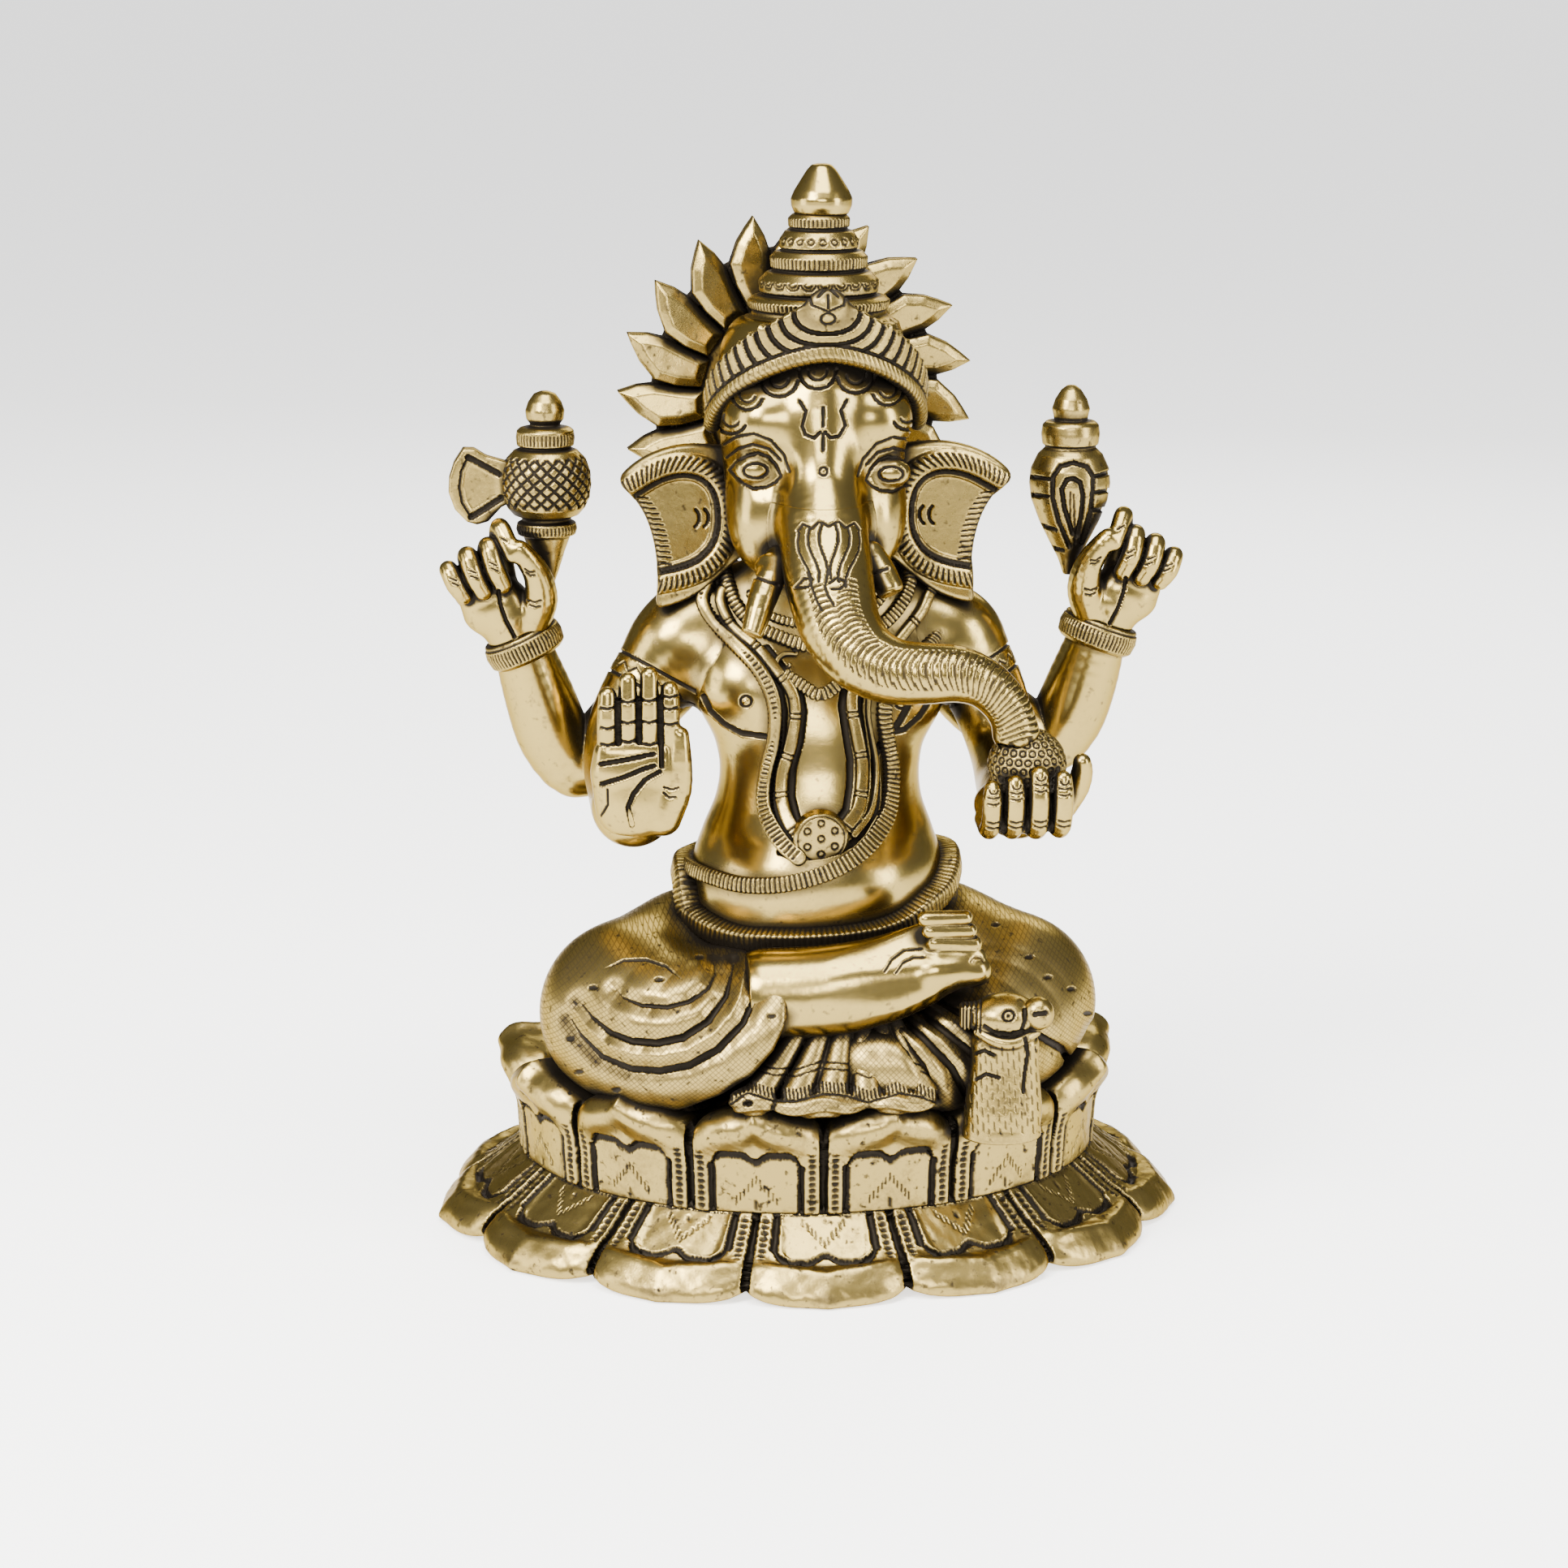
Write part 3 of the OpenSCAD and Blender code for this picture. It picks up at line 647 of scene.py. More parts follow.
outer_left = [(-25.5, 160), (-26.9, 155.9), (-24.1, 150.5), (-18.8, 144.6), (-14.3, 139.5), (-11.4, 134),
              (-10.4, 128.9), (-10.6, 121.8), (-11.9, 115.5), (-12.6, 108), (-11.4, 102.6), (-8.4, 97.4),
              (-4.8, 94)]
inner_left = [(-21.6, 159), (-22.9, 155.9), (-19.9, 149.4), (-14.3, 144.2), (-10, 138.8), (-6.6, 134),
              (-5.7, 128.8), (-6.5, 121.7), (-8.3, 115.2), (-8.6, 108.6), (-7.2, 103.2), (-5, 99.5)]
inner_right = [(25.5, 157), (23.4, 152.5), (20.2, 148.1), (17.3, 144.3), (12.5, 139), (8.2, 134.5),
               (7.6, 130), (8.6, 123.5), (9.7, 117.1), (9.6, 110.6), (8.8, 105.2), (5.5, 100.4)]
middle_right = [(11.4, 133), (11.3, 128), (12.2, 122), (13, 116.5), (12.8, 110), (11.6, 104.6), (8, 99.5)]
outer_right = [(32, 158), (29.7, 152.9), (26.5, 147.1), (23.2, 142.5), (18, 137), (15, 131),
               (15.2, 124.3), (16.1, 116.8), (16.1, 110.9), (15.3, 104.3), (12.4, 98.7), (8, 94.2),
               (2, 90.9), (-5, 88.9), (-12, 88.2), (-19.2, 88.8), (-26, 91)]


def between(a, b, skip=0):
    """The line half way between two strands, as far as the shorter one runs."""
    a = np.array(a[skip:], np.float32)
    b = np.array(b, np.float32)
    mid = []
    for place in b:
        k = np.argmin(np.hypot(*(a - place).T))
        mid.append(tuple((a[k] + place) / 2))
    return mid


def beside(a, dx):
    return [(x + dx, z) for x, z in a]


trunk_of_body = loft([
    [38, 0, -4, 24, 20], [52, 0, -7, 27, 23], [66, 0, -9, 29, 25], [80, 0.5, -11, 30.5, 27],
    [90, 1, -12, 30, 27], [98, 1.2, -11, 27.5, 25.2], [106, 1.6, -9.5, 24.5, 22], [114, 2, -8, 24, 20.5],
    [124, 2, -6.5, 26.5, 20], [134, 2, -4, 30, 19.5], [143, 2, -3, 31.5, 17.5], [150, 2, -3, 27, 15],
    [156, 1.5, -4, 20, 13], [163, 1, -5, 15, 12]])
torso = blend(
    7, trunk_of_body,
    egg((-14.5, -13, 132.5), (12, 10, 10)), egg((18, -13, 131.5), (12, 10, 10)),
    egg((-22, -1, 150.5), (12, 8.5, 9)), egg((24, -1, 150), (12, 8.5, 9)))


def torso_chase(p, n):
    x, z = drawn(p, -24)
    front = n[:, 1] < -0.1
    folds = [[(-27, 133), (-25.4, 129.5), (-22, 126.2), (-18, 123.9), (-12.5, 123.1)],
             [(15.8, 123.2), (20.3, 124), (24, 127.3), (26.5, 131.5)]]
    gaps = [between(outer_left, inner_left), between(inner_right, middle_right, 4),
            between(middle_right, outer_right, 5), beside(inner_left[3:], 2.2),
            beside(inner_right[3:], -2.2)]
    depth, fine = engraved(x, z, (folds, 1.5, 0.8, 1.2), (gaps, 1.8, 0.7, 1.4))
    nipples = [(-17, 131.6), (19.5, 130.4)]
    ring, d = rings(x, z, nipples, 1.3, 0.7, 0.5)
    raised = sum(groove(np.hypot(x - a, z - b), 1.0, -0.3) for a, b in nipples)
    return (np.maximum(depth, ring) + raised) * front, (fine | (d < 1.6)) & front


def make_torso():
    casting("torso", torso, (-36, -42, 37), (38, 20, 164), "polished", torso_chase, voxel=VOXEL)


def round_torso(front, behind):
    """A line draped on the front of the torso and carried on round its back."""
    return np.vstack([front, lay(torso, [front[-1], *behind, front[0]])])


def make_garland():
    plain = [drape(torso, s, -26) for s in (inner_left, inner_right)]
    thin = drape(torso, middle_right, -27)
    hatched = drape(torso, outer_left, -26)

    shape = join(*[strip(torso, path, 1.45, 1.9) for path in plain],
                 strip(torso, thin, 0.7, 1.4), strip(torso, hatched, 1.75, 2.2))

    def chase(p, n):
        d, s = path_near(p, hatched)
        depth = ticks(s, 1.15) * (d < 2.4)
        fine = d < 2.6
        for path in plain:
            d, s = path_near(p, path)
            pair = np.abs(fold(s, 9.5) - 0.6)
            depth = np.maximum(depth, groove(pair, 0.5, 0.35) * (d < 2.2))
            fine |= (d < 2.2) & (pair < 0.6)
        return depth, fine
    casting("garland", shape, (-31, -42, 92), (32, 8, 164), "chased", chase)


def make_waist_cord():
    front = drape(torso, outer_right, -28)
    loop = round_torso(front, [(-33, -8, 90), (-30, 6, 91), (-17, 15, 100), (4, 17, 122), (22, 9, 147)])
    casting("waist_cord", strip(torso, loop, 1.9, 2.3), (-37, -43, 84), (36, 19, 162), "chased",
            lambda p, n: corded(p, [loop]))


def make_waist_belt():
    front = drape(torso, [(-29.6, 84.8), (-25.8, 81.8), (-19.7, 79), (-11, 77.9),
                          (-2.3, 77.7), (6.4, 78.3), (13, 79.6), (18.6, 82.3), (25, 88.2)], -38)
    loop = round_torso(front, [(33, -14, 90), (28, 6, 89), (10, 15, 88), (-12, 15, 88), (-28, 4, 88),
                               (-31, -14, 88)])

    def chase(p, n):
        depth, fine = corded(p, [loop], 5.2, 1.2)
        return 0.6 * depth, fine
    casting("waist_belt", strip(torso, loop, 3.0, 4.2), (-41, -47, 71), (41, 21, 106), "chased", chase)


def make_medallion():
    cx, cz = -0.8, 101.6
    middle = drape(torso, [(cx, cz), (-0.7, 101.5)], -36)[0]
    disc = tilted(lathe((0, 0, 0), [[6.0, -2], [6.2, 1.6], [5.6, 2.3], [0, 2.5]], 0.3), x=97)
    dots = [(cx + 3.7 * math.sin(math.radians(60 * i)), cz + 3.7 * math.cos(math.radians(60 * i)))
            for i in range(6)]

    def chase(p, n):
        x, z = drawn(p, -38)
        rim = np.abs(np.hypot(x - cx, z - cz) - 5.5)
        depth = np.maximum(rings(x, z, dots + [(cx, cz)], 0.75)[0], groove(rim, 0.45, 0.3))
        return depth * (n[:, 1] < -0.5), n[:, 1] < -0.3
    casting("chest_medallion", lambda p: disc(p - middle), (-10, -45, 92), (9, -30, 111), "chased", chase)


def make_collar():
    front = drape(torso, [(-21, 160), (-19.3, 155), (-17.6, 152.1), (-13.9, 148.3), (-8.6, 145.7),
                          (-3, 143.8), (4, 143.8), (10, 145.8), (14.4, 147.8), (17.4, 150.4),
                          (20.3, 154.4), (21.5, 158)], -20)
    loop = round_torso(front, [(20, 2, 157), (8, 9, 159), (-8, 9, 159), (-19, 2, 157)])
    drop = drape(torso, [(-8.6, 138.5), (-4.6, 135.8), (0.3, 133.2), (4.6, 135.8), (8.6, 138.5)], -26)
    hook_line = [(-5.6, 143), (-8.6, 142.8), (-10.2, 140.9), (-8.8, 139.2), (-7.2, 140.3)]
    hook = drape(torso, hook_line, -26, 1.0)
    second = drape(torso, [(-15.6, 156.5), (-13.4, 153), (-10, 150.6), (-4, 149), (4, 149), (10, 150.6),
                           (14, 153.5), (16, 156.5)], -20)

    shape = join(strip(torso, loop, 1.7, 2.0), strip(torso, drop, 1.6, 1.7),
                 strip(torso, hook, 0.7, 1.6), strip(torso, second, 1.2, 1.5))
    casting("collar_necklace", shape, (-25, -42, 129), (27, 13, 165), "chased",
            lambda p, n: corded(p, [loop, drop, second]))


# ---------------------------------------------------------------- legs and cloth

right_thigh = blend(
    9,
    tube([[-16, 4, 56, 17], [-34, -6, 57, 19.5], [-44.5, -23, 57, 19]], step=5),
    tube([[-44.5, -23, 57, 19], [-37, -38, 56.5, 18.5], [-25, -46, 56.5, 14.5], [-12, -48, 60, 12]],
         step=5),
    egg((-24, -8, 70), (16.5, 18, 12)), egg((-20, -38, 65.5), (9, 13, 9)))

left_thigh = blend(
    9,
    tube([[16, 4, 56, 17], [36, -6, 57, 19.5], [46, -21, 56.5, 18.8]], step=5),
    tube([[46, -21, 56.5, 18.8], [38, -38, 53, 16], [22, -48, 50.5, 12], [10, -49, 50, 10]], step=5),
    egg((27, -9, 70.5), (16.5, 19, 12.5)))

foot_body = tube([[-14, -45, 66.6, 10.8], [-2, -47.5, 67.6, 10.8], [10, -49.5, 70.2, 10.2],
                  [20, -49.5, 73.6, 9.4], [27, -48, 76.6, 8.4]], step=4)
ankle_top = plane((8, -59.4, 72.6), (0.0, -0.72, 0.69))
ankle_front = plane((8, -59.0, 68), (0.05, -0.97, 0.2))


def toes():
    row = [bone((21.5 + 1.1 * i, -53.6, 86.2 - 2.9 * i), (30.8 + 1.1 * i, -52.8, 86.0 - 3.1 * i), 1.9, 1.75)
           for i in range(4)]
    ball = egg((28, -48, 79.5), (5, 4.5, 7))
    big_toe = bone((24, -53.4, 73.6), (33.4, -53, 73.4), 4.3, 3.7)
    return blend(1.0, blend(0.35, *row, ball), big_toe)


foot = blend(2.2, meet(meet(foot_body, ankle_top, 1.2), ankle_front, 1.2), toes())
big_arc = [(-57.5, 70), (-55.3, 66.9), (-51.3, 63.2), (-46.4, 61), (-40.6, 60.4), (-34.8, 61.5),
           (-29, 65.2), (-24.9, 71.1), (-23.2, 78.5)]
low_arc = [(-60, 66.5), (-57.9, 62.8), (-53.1, 57.5), (-46.6, 54.4), (-40, 53.7), (-33.4, 54.8),
           (-26.7, 58.5), (-20.9, 64.7), (-18.5, 70.6), (-17.6, 79.2)]
lobe_line = [(-50, 73.4), (-48.2, 71.4), (-44.1, 69.5), (-38.2, 68.9), (-33.2, 70.1), (-29, 73),
             (-27.2, 76.6), (-27.6, 79)]
lobe_crease = [(-52, 78.5), (-48, 80.2), (-43, 80.2), (-38.5, 78.6), (-35, 75.4)]


SEAT_Z = 38.0             # the legs are cut flat here, inside the cup of the upper tier


def tapered(u, v, pts, width, depth):
    """A line that is wide in its middle and runs out at its ends."""
    d, s = trace(u, v, pts)
    length = sum(math.dist(a, b) for a, b in zip(pts, pts[1:]))
    share = np.clip(np.sin(np.clip(s / length, 0.02, 0.98) * math.pi), 0.1, 1) ** 0.6
    return groove(d / share, width, depth * share), d


def valley(d, width, depth):
    """A broad soft hollow either side of a line."""
    return depth * np.exp(-(d / width) ** 2)


def seed_marks(x, z, places):
    """Small leaf-shaped dents scattered on the cloth."""
    d = np.minimum.reduce([np.hypot((x - a) * 0.55, z - b) for a, b in places])
    return groove(d, 1.3, 0.4), d


def right_leg_chase(p, n):
    x, z = drawn(p, -60)
    front = (n[:, 1] < 0.35) & (p[:, 1] < -8)
    depth, d = seed_marks(x, z, [(-60.5, 62), (-55, 74), (-58.5, 54), (-40, 75.5), (-50, 49.5), (-31, 80.5),
                                 (-14.5, 66)])
    fine = d < 1.0
    for line, width, deep in ((big_arc, 1.7, 1.2), (low_arc, 1.7, 1.2), (lobe_line, 1.1, 0.7),
                              (lobe_crease, 0.9, 0.6)):
        fold_depth, d = tapered(x, z, line, width, deep)
        depth = np.maximum(depth, fold_depth)
        fine |= d < 2.0
    return depth * front, fine & front


def make_right_leg():
    # The cloth ends in a thick hem where the bare shin comes out of it.
    def shape(p):
        x, z = drawn(p, -60)
        edge = np.interp(z, [44, 47.8, 51.9, 57.8, 64.7, 71.5, 90],
                         [-36, -25.8, -19.1, -14.1, -11, -10.6, -10.8])
        past = (x - edge.astype(np.float32)) * 0.85
        past = np.where((p[:, 1] < -26) & (p[:, 2] > 40), past, np.float32(-9.0))
        near = (p[:, 1] < -5) & (x < -8)
        folds = valley(np.minimum(polyline(x, z, big_arc), polyline(x, z, low_arc)), 2.6, 1.9)
        lobe = valley(polyline(x, z, lobe_line), 2.2, 1.2)
        body = smax(right_thigh(p) + (folds + lobe) * near - 0.4, past, 1.6)
        return smax(body, SEAT_Z - p[:, 2], 1.0)
    casting("right_leg", shape, (-67, -65, 37), (-4, 22, 92), "cloth", right_leg_chase, voxel=VOXEL)


left_bands = [[(10.5, 63), (16.5, 57), (21.5, 50), (24.5, 42.5)],
              [(14.5, 63.8), (22, 56.8), (28.2, 49.7), (32, 42.5)],
              [(20.2, 63.8), (26.8, 58.5), (34, 52), (39, 44)],
              [(25, 66), (33, 61), (44, 57)],
              [(50, 41), (55, 47), (61, 58)],
              [(47, 58), (54, 53.5), (58.5, 45.5)]]


def left_leg_chase(p, n):
    x, z = drawn(p, -52)
    front = (n[:, 1] < 0.3) & (p[:, 1] < -8)
    a, da = lines(x, z, left_bands, 1.6, 1.3)
    s, ds = seed_marks(x, z, [(46, 76), (56, 68), (38, 84), (60, 62), (50.5, 71)])
    return np.maximum(a, s) * front, ((da < 1.6) | (ds < 1.0)) & front


def make_left_leg():
    def shape(p):
        x, z = drawn(p, -52)
        d = np.minimum.reduce([polyline(x, z, s) for s in left_bands])
        body = left_thigh(p) + valley(d, 1.9, 1.3) * (p[:, 1] < -8) - 0.2
        return smax(body, SEAT_Z - p[:, 2], 1.0)
    casting("left_leg", shape, (4, -66, 37), (70, 22, 90), "cloth", left_leg_chase, voxel=VOXEL)


def make_foot():
    wrinkles = [[(12, 74.4), (13.6, 77.2), (16.3, 79.3), (20.5, 79.6)],
                [(14.6, 73.9), (16.2, 76.4), (18.6, 77.6), (21, 77.6)]]
    nail = [arc_points(33.4, 75.6, 1.6, 20, 160, 6)]
    casting("right_foot", foot, (-16, -60, 56), (39, -36, 88), "polished",
            drawing(-55, 0.2, (wrinkles, 0.6, 0.4, 0.8), (nail, 0.45, 0.3, 0.7)))


def pleats(p):
    ridge = [(-6, -17.5, 2.4), (-1.2, -8.5, 2.6), (3.2, -0.5, 2.8), (7.4, 7.5, 2.6), (11.5, 14.5, 2.4),
             (15, 21, 2.2)]
    rows = [tube([[a, -50, 61, r * 0.8], [(a + b) / 2, -54.5, 53.5, r * 1.1], [b, -58, 46.5, r * 1.45]],
                 step=4) for a, b, r in ridge]
    back = tube([[4, -45, 60, 6], [2, -47.5, 52, 7.6], [0, -49.5, 48, 8.6]], step=5)
    wave = p[:, 2] - (44.8 + 0.9 * np.cos((p[:, 0] + 3) * 0.42))
    lips = join(egg((-3.4, -60.3, 44.6), (11, 3.6, 2.9)), egg((15.6, -60, 44.6), (8, 3.4, 2.7)),
                egg((-18.6, -59, 45.6), (5.6, 3.4, 3.4)))
    cloth = blend(1.0, blend(0.3, *rows), back)(p)
    return smax(smin(cloth, lips(p) + 0.18 * np.cos(wave * 3), 0.9), 39.5 - p[:, 2], 0.8)


def pleat_chase(p, n):
    x, z = drawn(p, -60)
    front = n[:, 1] < 0.1
    hem = np.interp(x, [-24, -20, -14, -9, -3, 3, 8, 10, 15, 20, 24],
                    [47, 49.6, 47.6, 47.2, 48.8, 48.2, 46.2, 47, 48.4, 47.4, 45.6]).astype(np.float32)
    band = np.abs(z - hem)
    depth = ticks(x + 0.15 * (z - hem), 0.95, 0.5, 0.4) * (band < 1.3)
    depth = np.maximum(depth, groove(np.abs(z - hem + 1.7), 0.6, 0.5))
    double = np.minimum(np.abs(z - hem - 4.4), np.abs(z - hem - 6.0))
    depth = np.maximum(depth, groove(double, 0.5, 0.35))
    hole = np.hypot(x + 20, (z - 45.3) * 1.3)
    depth = np.maximum(depth, groove(hole, 2.6, 1.6))
    return depth * front, front & ((band < 2.4) | (double < 0.6) | (hole < 1.6))


def make_pleats():
    casting("dhoti_pleats", pleats, (-26, -66, 39), (28, -38, 66), "cloth", pleat_chase)


PIECES = [make_base, make_torso, make_garland, make_waist_cord, make_waist_belt, make_medallion,
          make_collar, make_right_leg, make_left_leg, make_foot, make_pleats]


# ---------------------------------------------------------------- head and trunk

skull = blend(
    6,
    loft([[157, 0, -14, 9, 10], [163, 0, -15, 14.5, 14], [170, 0, -14.5, 18, 16.5],
          [178, 0, -13.5, 20.2, 18.5], [186, 0, -12, 21.2, 20], [195, 0, -10, 21.8, 20.5],
          [204, 0, -8, 21.8, 20.5], [212, 0, -5, 21, 19.5], [219, 0.5, -4, 18, 17.5]]),
    egg((-12, -22, 197), (9, 9, 8)), egg((12.5, -22, 197), (9, 9, 8)),
    egg((-13, -20.5, 173.5), (7, 8.5, 11)), egg((13, -20.5, 173.5), (7, 8.5, 11)))

nose_ridge = tube([[0, -18, 212, 7], [0, -24.5, 202, 7.4], [0, -27.5, 192, 7], [0, -30, 183, 7],
                   [0, -32.5, 176, 7.6]], step=4)
trunk_stops = [
    [0, -27.5, 182.5, 6.0], [0, -30.8, 178, 7.8], [0, -34.2, 173, 9.6], [0.2, -39, 166.5, 10.2],
    [0.8, -44.4, 160, 9.8], [2.4, -50, 153.5, 9.0], [6.4, -55, 148.2, 8.2], [12.5, -58.6, 145.4, 7.4],
    [20, -60.5, 145, 6.8], [27, -60.6, 144.8, 6.3], [33, -60, 142.6, 5.6], [37.6, -58.8, 138.4, 5.2],
    [40.2, -57.8, 134, 5.0], [41.2, -57, 130.5, 5.3]]
trunk_path = spline(trunk_stops, 2.0)
trunk_tube = tube(trunk_stops, step=2.0)
face = blend(5, skull, nose_ridge)

left_eye = [(-21.2, 186.6), (-19.2, 188.6), (-17, 189.9), (-14.4, 190.3), (-12, 189.4), (-10.3, 187.4),
            (-9.3, 185), (-10.6, 183.6), (-12.8, 182.5), (-15.6, 182.2), (-17.8, 183.2), (-19.4, 184.8)]
left_lid = [(-21.8, 189.4), (-19, 191.4), (-15.6, 192.2), (-12, 191.2), (-9.4, 188.6)]
left_brow = [(-22.4, 192.4), (-19.4, 194.2), (-15.4, 194.7), (-11.6, 193.2), (-8.6, 189.8), (-7.4, 186)]


def mirrored(pts, x, dz):
    return [(2 * x - a, b + dz) for a, b in pts]


forehead_mark = [[(-5, 202.2), (-3.5, 199.8), (-4.4, 196.4), (-3.6, 194.4), (-1.6, 193.6), (-0.2, 195)],
                 [(0.5, 200.6), (0.5, 196.4)],
                 [(0.5, 194.6), (0.5, 190.8)],
                 [(1, 195), (2.2, 193.6), (4.3, 194), (5.7, 196.4), (4.7, 199.8), (6, 202.2)]]


def hair_lobes():
    """Two rows of arcs that hang below the diadem's rim, one inside the other."""
    middles = [(-20.6, 197.6), (-16.9, 203.2), (-9.6, 206.8), (-0.8, 208.4), (8, 207.4), (15.4, 203.8),
               (20, 198)]
    rows = []
    for share in (1.0, 0.52):
        row = []
        for i, (cx, cz) in enumerate(middles):
            tilt = 10.0 * (i - 3)
            r = 4.3 if abs(i - 3) < 2 else 3.6
            row.append(arc_points(cx, cz + 0.8, r * share, 180 + tilt, 360 + tilt, 9))
        rows.append(row)
    return rows


def face_chase(p, n):
    x, z = drawn(p, -28)
    front = n[:, 1] < 0.15
    pupil = arc_points(-15, 186.3, 2.9, 0, 360, 14, 1.8)
    eye = [left_eye + left_eye[:1], left_lid, left_brow, pupil]
    eyes = eye + [mirrored(s, 0.6, -1.2) for s in eye]
    wide, narrow = hair_lobes()
    depth, fine = engraved(x, z, (eyes, 0.75, 0.6, 0.9), (forehead_mark, 0.9, 0.7, 0.9),
                           (wide, 0.8, 0.7, 0.9), (narrow, 0.6, 0.45, 0.9))
    dot, d = rings(x, z, [(0.6, 186)], 0.95, 0.6, 0.5)
    return np.maximum(depth, dot) * front, (fine | (d < 0.9)) & front


def make_head():
    sockets = join(egg((-15.2, -33, 186.6), (7.4, 5.6, 5.6)), egg((16.4, -33, 185.4), (7.2, 5.6, 5.6)))
    balls = join(egg((-15.2, -25.6, 186.3), (4.6, 3.4, 3.4)), egg((16.4, -25.6, 185.1), (4.6, 3.4, 3.4)))

    def shape(p):
        # The trunk's root belongs to both castings, so their skins run into each other.
        root = smax(trunk_tube(p), 176.5 - p[:, 2], 1.5)
        return smin(smin(smax(face(p), -sockets(p), 3.5), root, 5.0), balls(p), 1.6)
    casting("head", shape, (-25, -46, 156), (25, 16, 222), "polished", face_chase, voxel=FACE_VOXEL)


def trunk_frame(p):
    """How far along the trunk a point is, and how far across it as seen from the front."""
    s = path_near(p, trunk_path)[1]
    step = np.linalg.norm(np.diff(trunk_path[:, :3], axis=0), axis=1)
    stations = np.concatenate([[0], np.cumsum(step)]).astype(np.float32)

    def at(place):
        return np.stack([np.interp(place, stations, trunk_path[:, i]) for i in range(3)], 1)
    across = unit(np.cross(at(s + 1) - at(s - 1), vec(0.1, 1, -0.25)))
    return s, ((p - at(s).astype(np.float32)) * across).sum(1)


def trunk_chase(p, n):
    s, w = trunk_frame(p)
    front = n[:, 1] < 0.2
    # The ribs begin as two narrow rows that join into one wide one.
    start, joined, end = 29.0, 50.0, 97.5
    middle = 0.4
    row = np.clip((s - start) / (joined - start), 0, 1)
    offset = 4.0 * (1 - row)
    reach = 1.7 + 2.9 * row
    near = np.minimum(np.abs(w - offset - middle), np.abs(w + offset - middle))
    curve = np.where(row < 1, 0.10 * (np.abs(w - middle) - offset) ** 2, 0.075 * (w - middle) ** 2)
    on = (near < reach) & (s > start) & (s < end)
    depth = ticks(s - curve, 1.35, 0.5, 0.3) * on
    x, z = drawn(p, -42)
    plume = []
    for a in (-6.6, -4.2, -1.5, 1.5, 4.2, 6.6):
        sway = 0.9 * (1 if a > 0 else -1)
        top = 176.4 - 0.05 * a * a
        plume.append([(0.3 + a * (1.05 - 0.4 * t) + sway * math.sin(math.tau * t), top - 14 * t)
                      for t in (0, 0.15, 0.3, 0.45, 0.6, 0.75, 0.9)])
    plume += [[(-4.6, 165), (-3.6, 161.5), (-2.6, 158.8), (-1.4, 156.4)],
              [(0.2, 165), (-0.6, 161.8), (0.2, 159.6), (1.4, 157.6)],
              [(-7.4, 161.6), (-5.4, 163.8), (-3.5, 163.6), (-4.4, 161.8), (-7.4, 161.6)],
              [(0.4, 162.6), (2.2, 163.8), (4.4, 163), (3.2, 161.2), (1.0, 161.2)],
              [(-6.9, 174.6), (-5.6, 176.2), (-3.6, 175.2), (-1.8, 176.8), (0.3, 175.6), (2.4, 176.8),
               (4.2, 175.2), (6.2, 176.2), (7.4, 174.6)]]
    leaf, d = lines(x, z, plume, 0.65, 0.5)
    ribbed = (near < reach + 0.5) & (s > start - 1) & (s < end + 1)
    return np.maximum(depth, leaf) * front, (ribbed | (d < 0.8)) & front


def make_trunk():
    lip = tilted(egg((0, 0, 0), (5.6, 4.6, 2.0)), y=25)

    def shape(p):
        tube_distance = trunk_tube(p)
        mouth = lip(p - vec(41.8, -57.4, 126.6))
        body = smax(tube_distance, -mouth, 0.6)
        skin = smin(body, face(p), 5.0) - 0.08
        return smax(smax(skin, tube_distance - 4.0, 0.4), p[:, 2] - 179.5, 0.4)
    casting("trunk", shape, (-12, -70, 124), (49, -24, 184), "polished", trunk_chase)


def make_tusks():
    rings_round = [[(-16.6, 164), (-11, 162)], [(9.4, 163.6), (14, 165.4)]]
    chase = drawing(-40, 2, (rings_round, 0.9, 0.5, 1.0))
    right = blend(0.8,
                  tube([[-9.5, -29, 166.5, 3.2], [-12, -36.5, 164, 3.5], [-14.8, -42, 159, 3.3],
                        [-17.4, -45.6, 152, 2.5]], step=3),
                  egg((-11.6, -35, 165), (4.4, 3.2, 3.6)))
    right = meet(right, plane((-17.4, -46, 151.6), (-0.4, -0.3, -0.85)), 0.5)
    left = blend(0.8,
                 tube([[9.5, -29, 167.5, 3.2], [12, -35, 165, 3.7], [14.6, -38, 160.6, 3.2]], step=3),
                 egg((10.6, -34.4, 167), (3.6, 3, 3.8)))
    left = meet(left, plane((14.8, -38.5, 158.8), (0.35, -0.4, -0.85)), 0.7)
    casting("right_tusk", right, (-22, -50, 148), (-6, -26, 175), "polished", chase)
    casting("left_tusk", left, (6, -43, 156), (19, -26, 175), "polished", chase)


# ---------------------------------------------------------------- ears

def rounded(pts, ring=False):
    """Cuts the corners of an outline, twice over."""
    for _ in range(2):
        ahead = pts[1:] + pts[:1] if ring else pts[1:]
        cut_pts = []
        for (a, b), (c, d) in zip(pts, ahead):
            cut_pts += [(a + (c - a) * t, b + (d - b) * t) for t in (0.25, 0.75)]
        pts = cut_pts if ring else [pts[0]] + cut_pts + [pts[-1]]
    return pts


